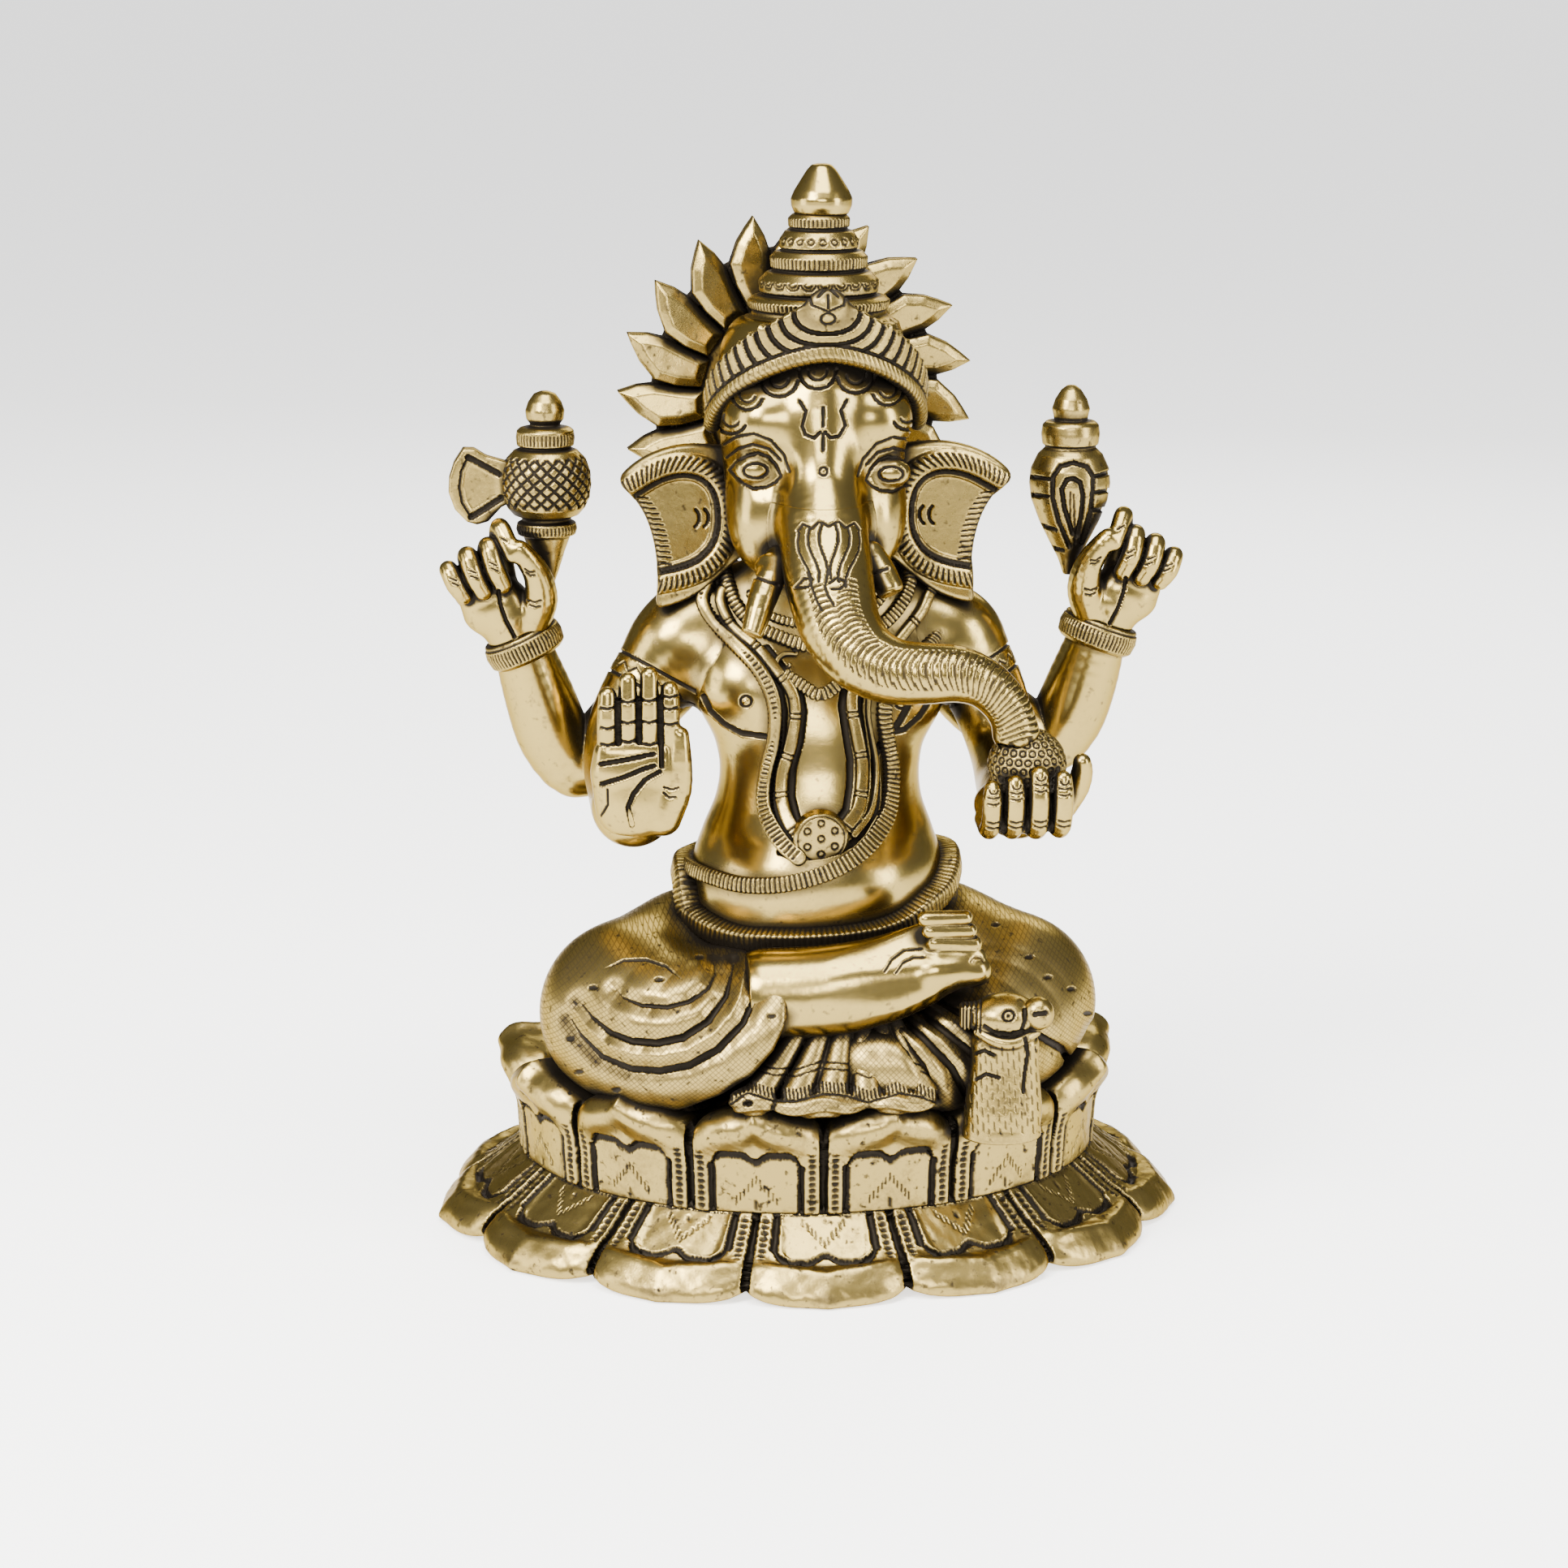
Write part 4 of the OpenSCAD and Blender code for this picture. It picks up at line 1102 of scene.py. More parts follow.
ear_outline = rounded([
    (12, 185), (18, 188.6), (24, 189.6), (31, 190), (37.5, 188.6), (43, 185.8), (46.6, 182.2),
    (43.2, 178.6), (40, 173.8), (38.2, 168.4), (37.3, 162.8), (37.2, 157), (37.8, 151.6), (33.4, 152.3),
    (27.7, 154.4), (22.6, 158.4), (18, 162.6), (12, 166)], True)
ear_panel = rounded([
    (43.5, 177.8), (40.5, 179.4), (36.2, 181.8), (31.5, 182.8), (27, 182), (23.8, 178.8), (22.8, 173.4),
    (23.4, 168), (26, 164), (30.6, 161.6), (37.6, 160.6)])
ear_edge_z = [151, 157, 163, 168.4, 173.8, 178.6, 183]
ear_edge = [37.8, 37.2, 37.3, 38.2, 40, 43.2, 46.6]


def panel_distance(u, v):
    """Signed distance to the sunk middle of an ear."""
    return polygon_distance(u, v, ear_panel + [(44, 161)])


def ear(side):
    middle = 0.6

    def place(p):
        u = side * (p[:, 0] - middle)
        sweep = -7.5 - 0.10 * (u - 20) - 0.004 * (u - 20) ** 2 + 0.05 * (p[:, 2] - 170)
        return u, p[:, 2], p[:, 1] - sweep

    def shape(p):
        u, v, w = place(p)
        d = polygon_distance(u, v, ear_outline)
        inner = panel_distance(u, v)
        dish = 1.9 * np.clip(-inner / 1.3, 0, 1)
        rim = 1.5 * np.clip(1 - (inner - 2.9) ** 2 / 7, 0, 1)
        front = -w - 2.0 + dish - rim
        plate = smax(front, w - 2.3, 0.8)
        return smax(plate, d, 1.6)

    def chase(p, n):
        u, v, _ = place(p)
        front = n[:, 1] < -0.1
        d = polyline(u, v, ear_panel)
        outside = panel_distance(u, v) > 0
        turn = np.arctan2(v - 171.5, 36 - u)
        rim = ticks(turn * 13.5 + 0.3 * d, 1.3, 0.6, 0.4) * (d > 1.6) * (d < 4.9) * outside
        border = groove(d + 0.2, 2.0, 1.0)
        inset = np.interp(v, ear_edge_z, ear_edge).astype(np.float32) - u
        bars = ticks(v + 0.12 * inset, 1.3, 0.55, 0.4) * (inset < 3.6) * (v > 161) * (v < 179)
        marks, dm = lines(u, v, [arc_points(a, 172.4, 2.6, 130, 235, 6) for a in (29.6, 27.4)], 0.8, 0.6)
        depth = np.maximum.reduce([rim, border, bars, marks])
        fine = ((d < 5.4) & outside) | (d < 1.4) | ((inset < 4.6) & (v > 159) & (v < 179)) | (dm < 0.9)
        return depth * front, fine & front
    return shape, chase


def make_ears():
    for side, name in ((-1, "right_ear"), (1, "left_ear")):
        shape, chase = ear(side)
        lo, hi = sorted((side * 11.0, side * 48.5))
        casting(name, shape, (lo, -20, 150), (hi, 2, 192), "chased", chase)


# ---------------------------------------------------------------- crown

CROWN_X = 2.0
BROW_RADIUS = 21.5        # of the head inside the diadem


def brow_place(p):
    """Across the brow as an arc length from its middle, up from the diadem's rim, and out from the head."""
    across, ahead = (p[:, 0] - 0.8) / 22.0, (p[:, 1] + 8.5) / 21.0
    turn = np.arctan2(across, -ahead)
    rim = 213.2 - 19.5 * (1 - np.cos(np.clip(np.abs(turn), 0, 1.7) * 0.96)) ** 0.85
    return turn * BROW_RADIUS, p[:, 2] - rim, (np.hypot(across, ahead) - 1) * BROW_RADIUS, turn


def diadem(p):
    s, v, out, turn = brow_place(p)
    lean = out - 0.07 * np.clip(v, 0, 20) - 0.2
    rim = np.hypot(out - 2.0, v) - 2.0
    size = 12.2 - 4.6 * np.clip(np.abs(turn) / 1.55, 0, 1) ** 1.3
    centre = 1.6 * np.exp(-(s / 6.0) ** 2)
    top = size + centre + 0.5 * np.cos(np.clip(np.abs(s), 12, 99) * 2 * math.pi / 2.7)
    sheet = np.maximum(np.abs(lean - 0.9) - 1.6, 0)
    wall = np.hypot(sheet, np.maximum(v - top + 1.5, 0)) - 1.1
    wall = np.maximum(wall, -v - 0.5)
    body = smin(rim, wall, 0.6)
    boss = np.sqrt((s / 4.6) ** 2 + ((v - 10.6) / 4.4) ** 2 + ((lean - 2.6) / 2.6) ** 2) - 1
    body = smin(body, boss * 2.6, 0.7)
    return smax(body, np.abs(turn) * 21 - 34.5, 1.5) * 0.85


def diadem_chase(p, n):
    s, v, out, _ = brow_place(p)
    front = out > 1.2
    rho = np.hypot(s, np.minimum(v - 11.0, 0.0))
    flutes = groove(fold(rho - 1.2, 2.55), 1.1, 1.1) * (v > 2.0) * (rho > 4.6)
    under = groove(np.abs(v - 2.1), 0.9, 0.7)
    hatch = ticks(s + 0.3 * v, 1.2, 0.4, 0.13) * (v < 1.6)
    bud = lines(s, v, [arc_points(0, 8.2, 1.3, 0, 360, 12), [(-0.2, 10), (-2.8, 11.6), (-3.4, 13.6)],
                       [(0.2, 10), (2.8, 11.6), (3.4, 13.6)], [(0, 10.6), (0, 13.6)],
                       [(-1.8, 13.4), (0, 15.4), (1.8, 13.4)]], 0.6, 0.45)[0]
    depth = np.maximum.reduce([flutes, under, hatch, bud * (v > 5)])
    return depth * front, front


def make_diadem():
    casting("crown_diadem", diadem, (-31, -38, 190), (33, 6, 229), "chased", diadem_chase)


def turn_about(p, x, y):
    """The angle of a point about an upright axis, from the front."""
    return np.arctan2(p[:, 0] - x, -(p[:, 1] - y))


def ticked_bands(t, z, bands):
    """Upright ticks round turned bands (radius, pitch, width, from, to)."""
    return np.maximum.reduce([ticks(t * r, pitch, width) * (z > low) * (z < high)
                              for r, pitch, width, low, high in bands])


def make_crown():
    tower = lathe((CROWN_X, -4, 0), [
        [19, 208], [20, 213], [18.5, 217.5], [15.5, 219.4], [15.2, 220.6], [16, 221], [16.4, 222.6],
        [15.4, 223.4], [13.2, 223.8], [12.8, 224.4], [13.6, 224.8], [13.8, 227.2], [12.2, 228.9],
        [10.6, 229.4], [10.2, 230], [11, 230.4], [11.2, 232.6], [10, 233.8], [8.8, 234], [8.4, 234.6],
        [9, 235], [9, 236.6], [7.8, 238.4], [6.6, 238.8], [6.2, 239.4], [6.9, 239.8], [7, 241.4],
        [6.2, 242.2], [5.2, 242.6]], 0.25)
    dome = egg((CROWN_X - 0.5, -3.5, 210), (20.5, 20, 12))

    def chase(p, n):
        t, z = turn_about(p, CROWN_X, -4), p[:, 2]
        depth = ticked_bands(t, z, [(15.5, 1.1, 0.5, 221, 222.8), (10.8, 1.05, 0.5, 230.4, 232.8),
                                    (6.8, 1.0, 0.5, 239.8, 241.6)])
        for size in (1.6, 0.88):
            scales = groove(np.hypot(fold(t * 12.9, 3.6), z - 227.4) - size, 0.5, 0.4)
            depth = np.maximum(depth, scales * (z < 227.5) * (z > 224.8))
        beads = groove(np.hypot(fold(t * 8.4, 2.6), z - 236.6) - 0.7, 0.45, 0.4) * (z > 235) * (z < 238.4)
        leaves = groove(fold(t * 17, 4.0) - 0.1, 0.8, 0.5) * (z < 218.5)
        return np.maximum.reduce([depth, beads, leaves]), (n[:, 1] < 0.6) | (z > 219)
    casting("crown_tower", blend(0.8, tower, dome), (-21, -27, 205), (25, 19, 244), "chased", chase,
            edge=WIDE_EDGE)
    tip = lathe((CROWN_X + 0.6, -4, 0), [
        [5, 242], [6.2, 242.8], [6.9, 244.4], [7.0, 246.0], [6.2, 247.8], [4.6, 250.4], [3.3, 252.4],
        [2.3, 253.5], [1.4, 253.8]], 0.2)
    casting("crown_finial", tip, (-6, -12.5, 241), (11, 4.5, 254.3), "polished")


# ---------------------------------------------------------------- halo

FLAMES = 19
HALO = (-1.4, 16.0, 199.0)
FIRST_FLAME = 199.0       # its angle from the viewer's right, degrees
FLAME_STEP = 360.0 / FLAMES
flame_outline = [(22, -0.6), (27, -1.2), (34, -2.3), (38, -1.9), (42.8, -0.4), (40.6, 2.2), (38, 4.9),
                 (33.4, 7.9), (28, 7.7), (22, 6.2)]


def halo(p):
    x, z = p[:, 0] - HALO[0], p[:, 2] - HALO[2]
    w = p[:, 1] - HALO[1]
    r = np.hypot(x, z)
    t = np.degrees(np.arctan2(z, x))
    best = np.full(len(p), FAR, np.float32)
    near = np.floor((t - FIRST_FLAME) / FLAME_STEP)
    for k in (0, 1):
        a = np.radians(FIRST_FLAME + (near + k) * FLAME_STEP)
        u = x * np.cos(a) + z * np.sin(a)
        v = -x * np.sin(a) + z * np.cos(a)
        d = polygon_distance(u, v, flame_outline)
        ridge = np.clip(-d / 2.2, 0, 1)
        tilt = 0.22 * np.clip(v - 2.5, -4, 6)
        best = np.minimum(best, smax(smax(-w - 1.9 - 1.6 * ridge - tilt, w - 2.8, 0.6), d, 0.6))
    disc = smax(r - 34.5, np.abs(w - 1.6) - 1.2, 0.5)
    return np.minimum(best, disc)


def halo_chase(p, n):
    """The disc between the flames is sunk 0.45 mm so that it turns black, as painted shade behind the
    flames.
    """
    r = np.hypot(p[:, 0] - HALO[0], p[:, 2] - HALO[2])
    w = p[:, 1] - HALO[1]
    low = (w > -0.6) & (w < 1.4) & (r > 23)
    return 0.45 * low, low & (r > 33)


def make_halo():
    casting("flame_halo", halo, (-45, 10, 155), (43, 20, 243), "chased", halo_chase)


PIECES += [make_head, make_trunk, make_tusks, make_ears, make_diadem, make_crown, make_halo]


# ---------------------------------------------------------------- arms

ARMS = {   # stops [x, y, z, radius], the shoulder of a front arm, and the box round it
    "front_right_arm": (
        [[-29, -2, 141.5, 11], [-37, -3, 134, 10], [-43.5, -6, 124, 9], [-46, -13, 115.5, 8.6],
         [-45.6, -26, 111.6, 8.6], [-44.8, -38, 111.5, 9.4], [-44.6, -43, 112, 9.6]],
        (-31, -2, 141.5), (-58, -55, 98), (-16, 14, 156)),
    "front_left_arm": (
        [[33, -2, 141.5, 11], [40.5, -3, 133, 9.8], [44.5, -6, 123, 9], [46, -13, 115.5, 8.4],
         [45, -26, 111.5, 8], [44.2, -38, 111, 8.4], [44, -44, 111, 8.6]],
        (35, -2, 141.5), (20, -55, 98), (58, 14, 156)),
    "rear_right_arm": (
        [[-28, 6, 138, 10], [-40, 8, 124, 9.2], [-50, 8.5, 113.5, 8.4], [-55.5, 8.5, 109.8, 8.0],
         [-60.5, 8, 117, 8.8], [-64, 7, 127, 8.4], [-67.3, 5.5, 137.5, 7.2], [-68.3, 5, 142, 6.8]],
        None, (-76, -6, 98), (-16, 20, 152)),
    "rear_left_arm": (
        [[32, 6, 138, 10], [43, 8, 124, 9.2], [54, 8.5, 115.5, 8.4], [59.5, 8.5, 112.6, 8.0],
         [64.5, 8, 119, 8.8], [68, 7, 128.5, 8.4], [70.8, 5.5, 138.5, 7.2], [71.6, 5, 142.5, 6.8]],
        None, (20, -6, 100), (80, 20, 152)),
}


def armlet_chase(side):
    """A plain armlet of two lines with a row of triangles between them, on the upper arm."""
    place = vec(side * 40 + 1.5, -3, 133)
    along = unit(vec(side * 6, -2, -10))

    def chase(p, n):
        s = (p - place) @ along
        near = (np.abs(p[:, 0] - place[0]) < 16) & (np.abs(s) < 5) & (p[:, 0] * side > 28)
        turn = np.arctan2(p[:, 1] + 3, (p[:, 0] - place[0]) * side)
        saw = np.abs((turn * 9.5 / 4.5) % 1 - 0.5) * 2
        depth = np.maximum(groove(np.abs(s) - 2.6, 0.9, 0.6), groove(s - 1.6 * saw + 0.8, 0.6, 0.4))
        return depth * near, near & (np.abs(s) < 4)
    return chase


def make_arms():
    for name, (stops, shoulder, lo, hi) in ARMS.items():
        arm, chase = tube(stops, step=3), None
        fillet, reach = 5, 3.6
        if shoulder:
            arm = blend(4, arm, egg(shoulder, (11.5, 11.5, 11.5)))
            chase = armlet_chase(1 if shoulder[0] > 0 else -1)
            fillet, reach = 6, 4.6
        casting(name, fillet_onto(arm, torso, fillet, reach), lo, hi, "polished", chase, voxel=VOXEL)


def make_bracelet(name, centre, lean, lo, hi):
    ring = lathe((0, 0, 0), [[6.0, -3.2], [8.2, -3.2], [9.1, -2.4], [9.5, 0], [9.1, 2.2], [8.6, 2.9],
                             [6, 2.9]], 0.25)
    leant = tilted(ring, y=lean)
    c = vec(*centre)
    a = math.radians(lean)
    up = vec(math.sin(a), 0, math.cos(a))
    side = vec(math.cos(a), 0, -math.sin(a))

    def chase(p, n):
        q = p - c
        h = q @ up
        t = np.arctan2(q @ side, -q[:, 1])
        depth = ticks(t * 9.3, 1.0, 0.5, 0.4) * (np.abs(h + 0.4) < 1.9)
        return np.maximum(depth, groove(h - 2.3, 0.6, 0.4)), np.abs(h) < 3.2
    casting(name, lambda p: leant(p - c), lo, hi, "chased", chase)


def make_bracelets():
    make_bracelet("rear_right_bracelet", (-67.6, 5.2, 140.6), -24, (-79, -7, 131), (-57, 17, 151))
    make_bracelet("rear_left_bracelet", (71.2, 5.2, 140.8), 20, (60, -7, 131), (83, 17, 151))


# ---------------------------------------------------------------- hands

def pinching_hand():
    """The figure's rear right hand: three fingers curled into the palm, index and thumb pinching."""
    palm = blend(2.5,
                 tube([[-68.4, 4, 142, 7.0], [-71.5, 2.2, 148, 7.4], [-74, 1.6, 153, 6.2]], 0.8, step=3),
                 tube([[-77.5, 1.6, 149, 4.6], [-79.5, 1.4, 153.5, 3.8]], 0.9, step=3))
    fingers = [
        tube([[-74.4, 3.5, 155, 2.7], [-75.8, 1.5, 163, 2.6], [-75.6, -2.5, 165.2, 2.4],
              [-74.4, -4.4, 160.6, 2.5], [-72.6, -3.6, 156.6, 2.2]], step=2),
        tube([[-78.4, 3.2, 154, 2.6], [-80.4, 1.5, 161, 2.5], [-80.6, -2.3, 163, 2.4],
              [-79.2, -4.3, 158.6, 2.4], [-77.2, -3.4, 155, 2.1]], step=2),
        tube([[-81.4, 2.8, 152.6, 2.4], [-84.6, 1.2, 158.2, 2.3], [-85.2, -2, 160, 2.2],
              [-83.6, -3.8, 156.6, 2.3], [-81.8, -3, 153.8, 2.0]], step=2)]
    index = tube([[-71.8, 3, 156, 2.8], [-73, 1.8, 165, 2.5], [-73, -0.6, 169.6, 2.3],
                  [-71.4, -3.4, 166.8, 2.2], [-70.2, -4.8, 163.8, 2.0]], step=2)
    thumb = tube([[-65.6, 1.2, 147, 4.4], [-63.6, -1.2, 152.5, 4.0], [-64.4, -3.0, 158.5, 3.3],
                  [-67.2, -4.4, 163.2, 2.7], [-68.6, -4.8, 165, 2.3]], step=2)
    return blend(1.0, blend(0.5, palm, *fingers, index), thumb)


hand_creases = [[(-75.6, 161.6), (-73.9, 160.8)], [(-75.2, 160.2), (-73.5, 159.4)],
                [(-80.6, 159.8), (-78.8, 159.2)], [(-80.1, 158.4), (-78.3, 157.8)],
                [(-84.9, 158), (-83.3, 157.4)], [(-84.4, 156.8), (-82.8, 156.2)],
                [(-72.9, 167.4), (-71.4, 166.6)], [(-67.4, 159.8), (-66.2, 159), (-64.9, 159.2)],
                [(-67.1, 158.9), (-66.1, 158.2), (-65, 158.3)],
                [(-66.8, 152.4), (-65.3, 151.8), (-63.6, 152.2)],
                [(-66.4, 151.2), (-65, 150.6), (-63.8, 150.9)]]
palm_line = [[(-73.6, 154.6), (-73.2, 151.4), (-72, 147.6), (-70, 143.6)]]


def make_rear_hand(name, shape, creases, palm, lo, hi):
    chase = drawing(-2, 0.1, (creases, 0.55, 0.4, 0.7), (palm, 1.1, 0.9, 0.9))
    casting(name, shape, lo, hi, "polished", chase)


def make_rear_hands():
    hand = pinching_hand()
    make_rear_hand("rear_right_hand", hand, hand_creases, palm_line, (-90, -9, 140), (-57, 13, 174))
    middle, lift = 1.4, 0.5

    def mirror_hand(p):
        return hand(np.column_stack([2 * middle - p[:, 0], p[:, 1], p[:, 2] - lift]).astype(np.float32))
    creases = [mirrored(s, middle, lift) for s in hand_creases]
    palm = [mirrored(s, middle, lift) for s in palm_line]
    make_rear_hand("rear_left_hand", mirror_hand, creases, palm, (59, -9, 140), (91, 13, 175))


def make_raised_hand():
    palm = blend(3, egg((-44, -48, 119.5), (10.2, 5.2, 10.5)), egg((-44.2, -47.5, 112.5), (9.0, 5.6, 7.5)),
                 block((-44.6, -48, 124), (8.8, 3.6, 4.5), 2.5))
    tops = [(-50.6, 141.4), (-46.0, 144.6), (-41.2, 145.8), (-36.6, 142.4)]
    fingers = [tube([[x, -48.5, 126, 2.3], [x, -50.4, 134, 2.35], [x + 0.1, -50, z - 2.2, 2.05]], step=4)
               for x, z in tops]
    thumb = tube([[-38.2, -48.5, 110.5, 4.4], [-35.2, -49.5, 117, 3.6], [-34.3, -50.5, 124, 2.7],
                  [-34.3, -50.6, 129.8, 2.1]], step=3)

    creases = []
    for (cx, _), heights in zip(tops, ((137, 132.4, 128.6), (138.4, 133.6, 129.2), (138.6, 133.6, 128.6),
                                       (139.4, 136.6, 133))):
        creases += [[(cx - 1.7, z - 0.1), (cx, z - 0.5), (cx + 1.8, z)] for z in heights]
    palm_lines = [[(-52.4, 123.9), (-47.4, 124.6), (-40.3, 126)],
                  [(-52.2, 119.2), (-47.4, 120.6), (-42.5, 122.6), (-40.2, 123.2)],
                  [(-45.4, 109.6), (-46.3, 113.7), (-45, 116.8), (-42.4, 119.9), (-39, 121.8)]]
    wrinkles = [[(-38, 118.2), (-36.4, 117.6), (-34.8, 118)], [(-38.2, 117), (-37, 115.8), (-35.4, 115.8)],
                [(-52.4, 112), (-50.8, 114.6), (-50.9, 118)]]
    gaps = [[(-48.3, 141), (-48.3, 128.6)], [(-43.6, 144), (-43.6, 128.8)],
            [(-38.8, 142.5), (-38.7, 129.5), (-38.4, 123)]]

    chase = drawing(-52, 0.15, (creases, 0.7, 0.55, 1.0), (palm_lines, 1.25, 1.0, 1.0),
                    (wrinkles, 0.6, 0.45, 1.0), (gaps, 1.3, 1.2, 1.0))
    hand = blend(0.9, blend(0.6, palm, *fingers), thumb)
    casting("front_right_hand", hand, (-57, -57, 103), (-30, -38, 149), "polished", chase)


def make_cupped_hand():
    palm = blend(3, egg((43.6, -51, 112.5), (10.6, 11, 6.2)), block((43.4, -56, 111.5), (9.4, 6, 3.6), 2.5))
    rows = [(34.9, 120.8, 2.2), (40.1, 121.8, 2.3), (45.6, 123.6, 2.45), (51.0, 122.6, 2.3)]
    fingers = [tube([[x, -54, 109.6, r + 0.2], [x, -60.6, 108.8, r + 0.1], [x, -64.2, 112.4, r],
                     [x, -65.2, 117, r], [x, -64.4, z - 1.6, r - 0.35]], step=2) for x, z, r in rows]
    thumb = tube([[54, -48, 111, 3.4], [56.6, -51.5, 116, 2.8], [57.2, -53.5, 120, 2.5],
                  [57, -54.5, 122.4, 2.1]], step=3)
    creases = []
    for cx, top, _ in rows:
        creases += [[(cx - 1.3, z + 0.1), (cx + 0.1, z - 0.25), (cx + 1.5, z + 0.15)]
                    for z in (top - 3.4, top - 4.9, 111.6, 110.4)]
        creases.append(arc_points(cx + 0.1, top - 1.5, 1.1, 190, 350, 5))
    gaps = [[(cx + 2.65, 122), (cx + 2.65, 109.4)] for cx, _, _ in rows[:3]]

    chase = drawing(-66, 0.1, (creases, 0.5, 0.4, 0.9), (gaps, 1.0, 1.0, 0.9))
    hand = blend(0.9, blend(0.5, palm, *fingers), thumb)
    casting("front_left_hand", hand, (30, -69, 103), (61, -38, 129), "polished", chase)


def make_sweet():
    centre = vec(44.2, -55.2, 122.4)
    ball = egg(centre, (9.0, 8.6, 8.6))
    radius, row_pitch, dot_pitch = 8.4, 2.1, 2.2

    def chase(p, n):
        q = unit(p - centre)
        lift = np.arcsin(np.clip(q[:, 2], -1, 1)) * radius / row_pitch
        row = np.round(lift)
        size = np.maximum(np.cos(row * row_pitch / radius), 0.15) * 8.6
        turn = np.arctan2(q[:, 0], -q[:, 1]) * size / dot_pitch + 0.5 * (row % 2)
        d = np.hypot((lift - row) * row_pitch, (turn - np.round(turn)) * dot_pitch)
        return np.maximum(groove(d - 0.72, 0.5, 0.45), groove(d, 0.5, 0.2)), q[:, 2] > -0.5
    casting("modak_sweet", ball, (34, -65.5, 112), (54, -45, 132.5), "chased", chase)


# ---------------------------------------------------------------- emblems

MACE = (-61.8, 5.0)
BUD = (63.6, 5.0)


def make_mace():
    body = lathe((*MACE, 0), [
        [1.4, 155.2], [2.6, 158.5], [4.0, 163], [5.2, 166.2], [5.3, 166.8], [6.6, 167.2], [7.0, 168.4],
        [6.7, 169.7], [5.6, 170.2], [5.6, 171.2], [7.6, 172], [9.0, 173.6], [10.1, 176], [10.5, 179],
        [10.3, 182], [9.3, 184.8], [7.4, 186.8], [5.9, 187.4], [5.6, 188], [6.5, 188.4], [6.7, 190],
        [6.5, 191.6], [5.8, 192.2], [3.6, 192.6], [3.2, 193.2], [4.2, 194.6], [4.4, 196.4], [3.7, 198.4],
        [2.4, 200.2], [0.9, 200.8]], 0.25)

    def chase(p, n):
        t, z = turn_about(p, *MACE), p[:, 2]
        u, v = t * 9.6 * 0.72, (z - 180) * 0.72
        net = np.minimum(fold(u + v, 2.15), fold(u - v, 2.15))
        depth = groove(net, 0.75, 0.6) * (z > 173.8) * (z < 186)
        bands = ticked_bands(t, z, [(6.6, 0.95, 0.45, 188.6, 191.2), (6.9, 0.95, 0.45, 167.4, 169.4)])
        return np.maximum(depth, bands), (z > 166.5) & (z < 192)
    casting("mace_head", body, (-73, -7, 154), (-50, 17, 202), "chased", chase)


axe_outline = [(-69, 184), (-72.2, 184.9), (-75.8, 186), (-78.6, 187.8), (-81.2, 187.9), (-83.4, 184.6),
               (-84.6, 181), (-84.8, 177.4), (-83.4, 173.4), (-80.6, 170.4), (-78.2, 169.7), (-75.6, 170.4),
               (-72.4, 173.8), (-69, 175.4)]
axe_panel = [(-80, 185.8), (-73, 181.8), (-72.6, 176), (-79.6, 171.6), (-81.6, 175), (-82.2, 178.6),
             (-81.7, 182.4)]


def make_axe():
    plate = slab(axe_outline, 2.3, 0.8)
    place = vec(0, 5, 0)

    def shape(p):
        d = plate(p - place)
        inner = polygon_distance(p[:, 0], p[:, 2], axe_panel)
        dish = 0.72 * np.clip(-inner / 1.2, 0, 1) * (np.abs(p[:, 1] - 5) > 0.8)
        return d + dish

    def chase(p, n):
        x, z = p[:, 0], p[:, 2]
        face = np.abs(n[:, 1]) > 0.5
        depth, fine = engraved(x, z, ([axe_panel[:2], axe_panel[2:4]], 1.7, 1.0, 1.2),
                               ([axe_panel[3:] + axe_panel[:1]], 0.8, 0.5, 1.2))
        return depth * face, fine & face
    casting("axe_blade", shape, (-87, 1, 167), (-67, 9, 190), "chased", chase)


def make_bud():
    body = lathe((*BUD, 0), [
        [1.0, 155.4], [2.4, 159.4], [4.7, 163.8], [7.0, 168.4], [8.9, 173.4], [9.5, 177.4], [9.1, 181],
        [7.6, 184.2], [5.9, 185.8], [5.7, 186.5], [6.5, 187], [6.8, 189.2], [6.5, 191.3], [5.8, 192],
        [3.7, 192.3], [3.9, 193.6], [4.3, 195.2], [3.6, 197.4], [2.2, 199.6], [0.9, 200.6]], 0.25)

    outer = [(62.2, 163.4), (59.4, 169.4), (57.8, 175.4), (57.8, 180.2), (59.6, 182.8), (62.8, 183.6),
             (66.2, 182.6), (67.8, 180), (67.4, 172), (65.2, 164.4)]
    inner = [(63, 166.4), (60.8, 172.4), (60, 177.2), (61.2, 179.4), (62.8, 179.8), (64.6, 178.8),
             (65.3, 175.8), (65, 170.4), (64, 166)]
    side = [[(52.6, 180.3), (56.9, 179.7)], [(52.6, 176), (56.6, 175.5)],
            [(68.3, 180.2), (73.6, 181.6)], [(68.4, 176.2), (73.6, 177.2)],
            [(54.8, 168.8), (58.8, 167.4)], [(57.4, 163.4), (60.6, 162.4)],
            [(68, 172), (72.6, 172.4)]]
    stem = [[(63.6, 164), (63, 175.8)], [(62.2, 168), (62.2, 176.4)]]
    chase = drawing(-4, 0.1, ([outer, inner], 1.25, 1.0, 1.1), (side, 1.1, 0.9, 1.1),
                    (stem, 0.5, 0.35, 1.1))
    casting("lotus_bud", body, (53, -6, 154), (75, 16, 202), "chased", chase)


# ---------------------------------------------------------------- mouse

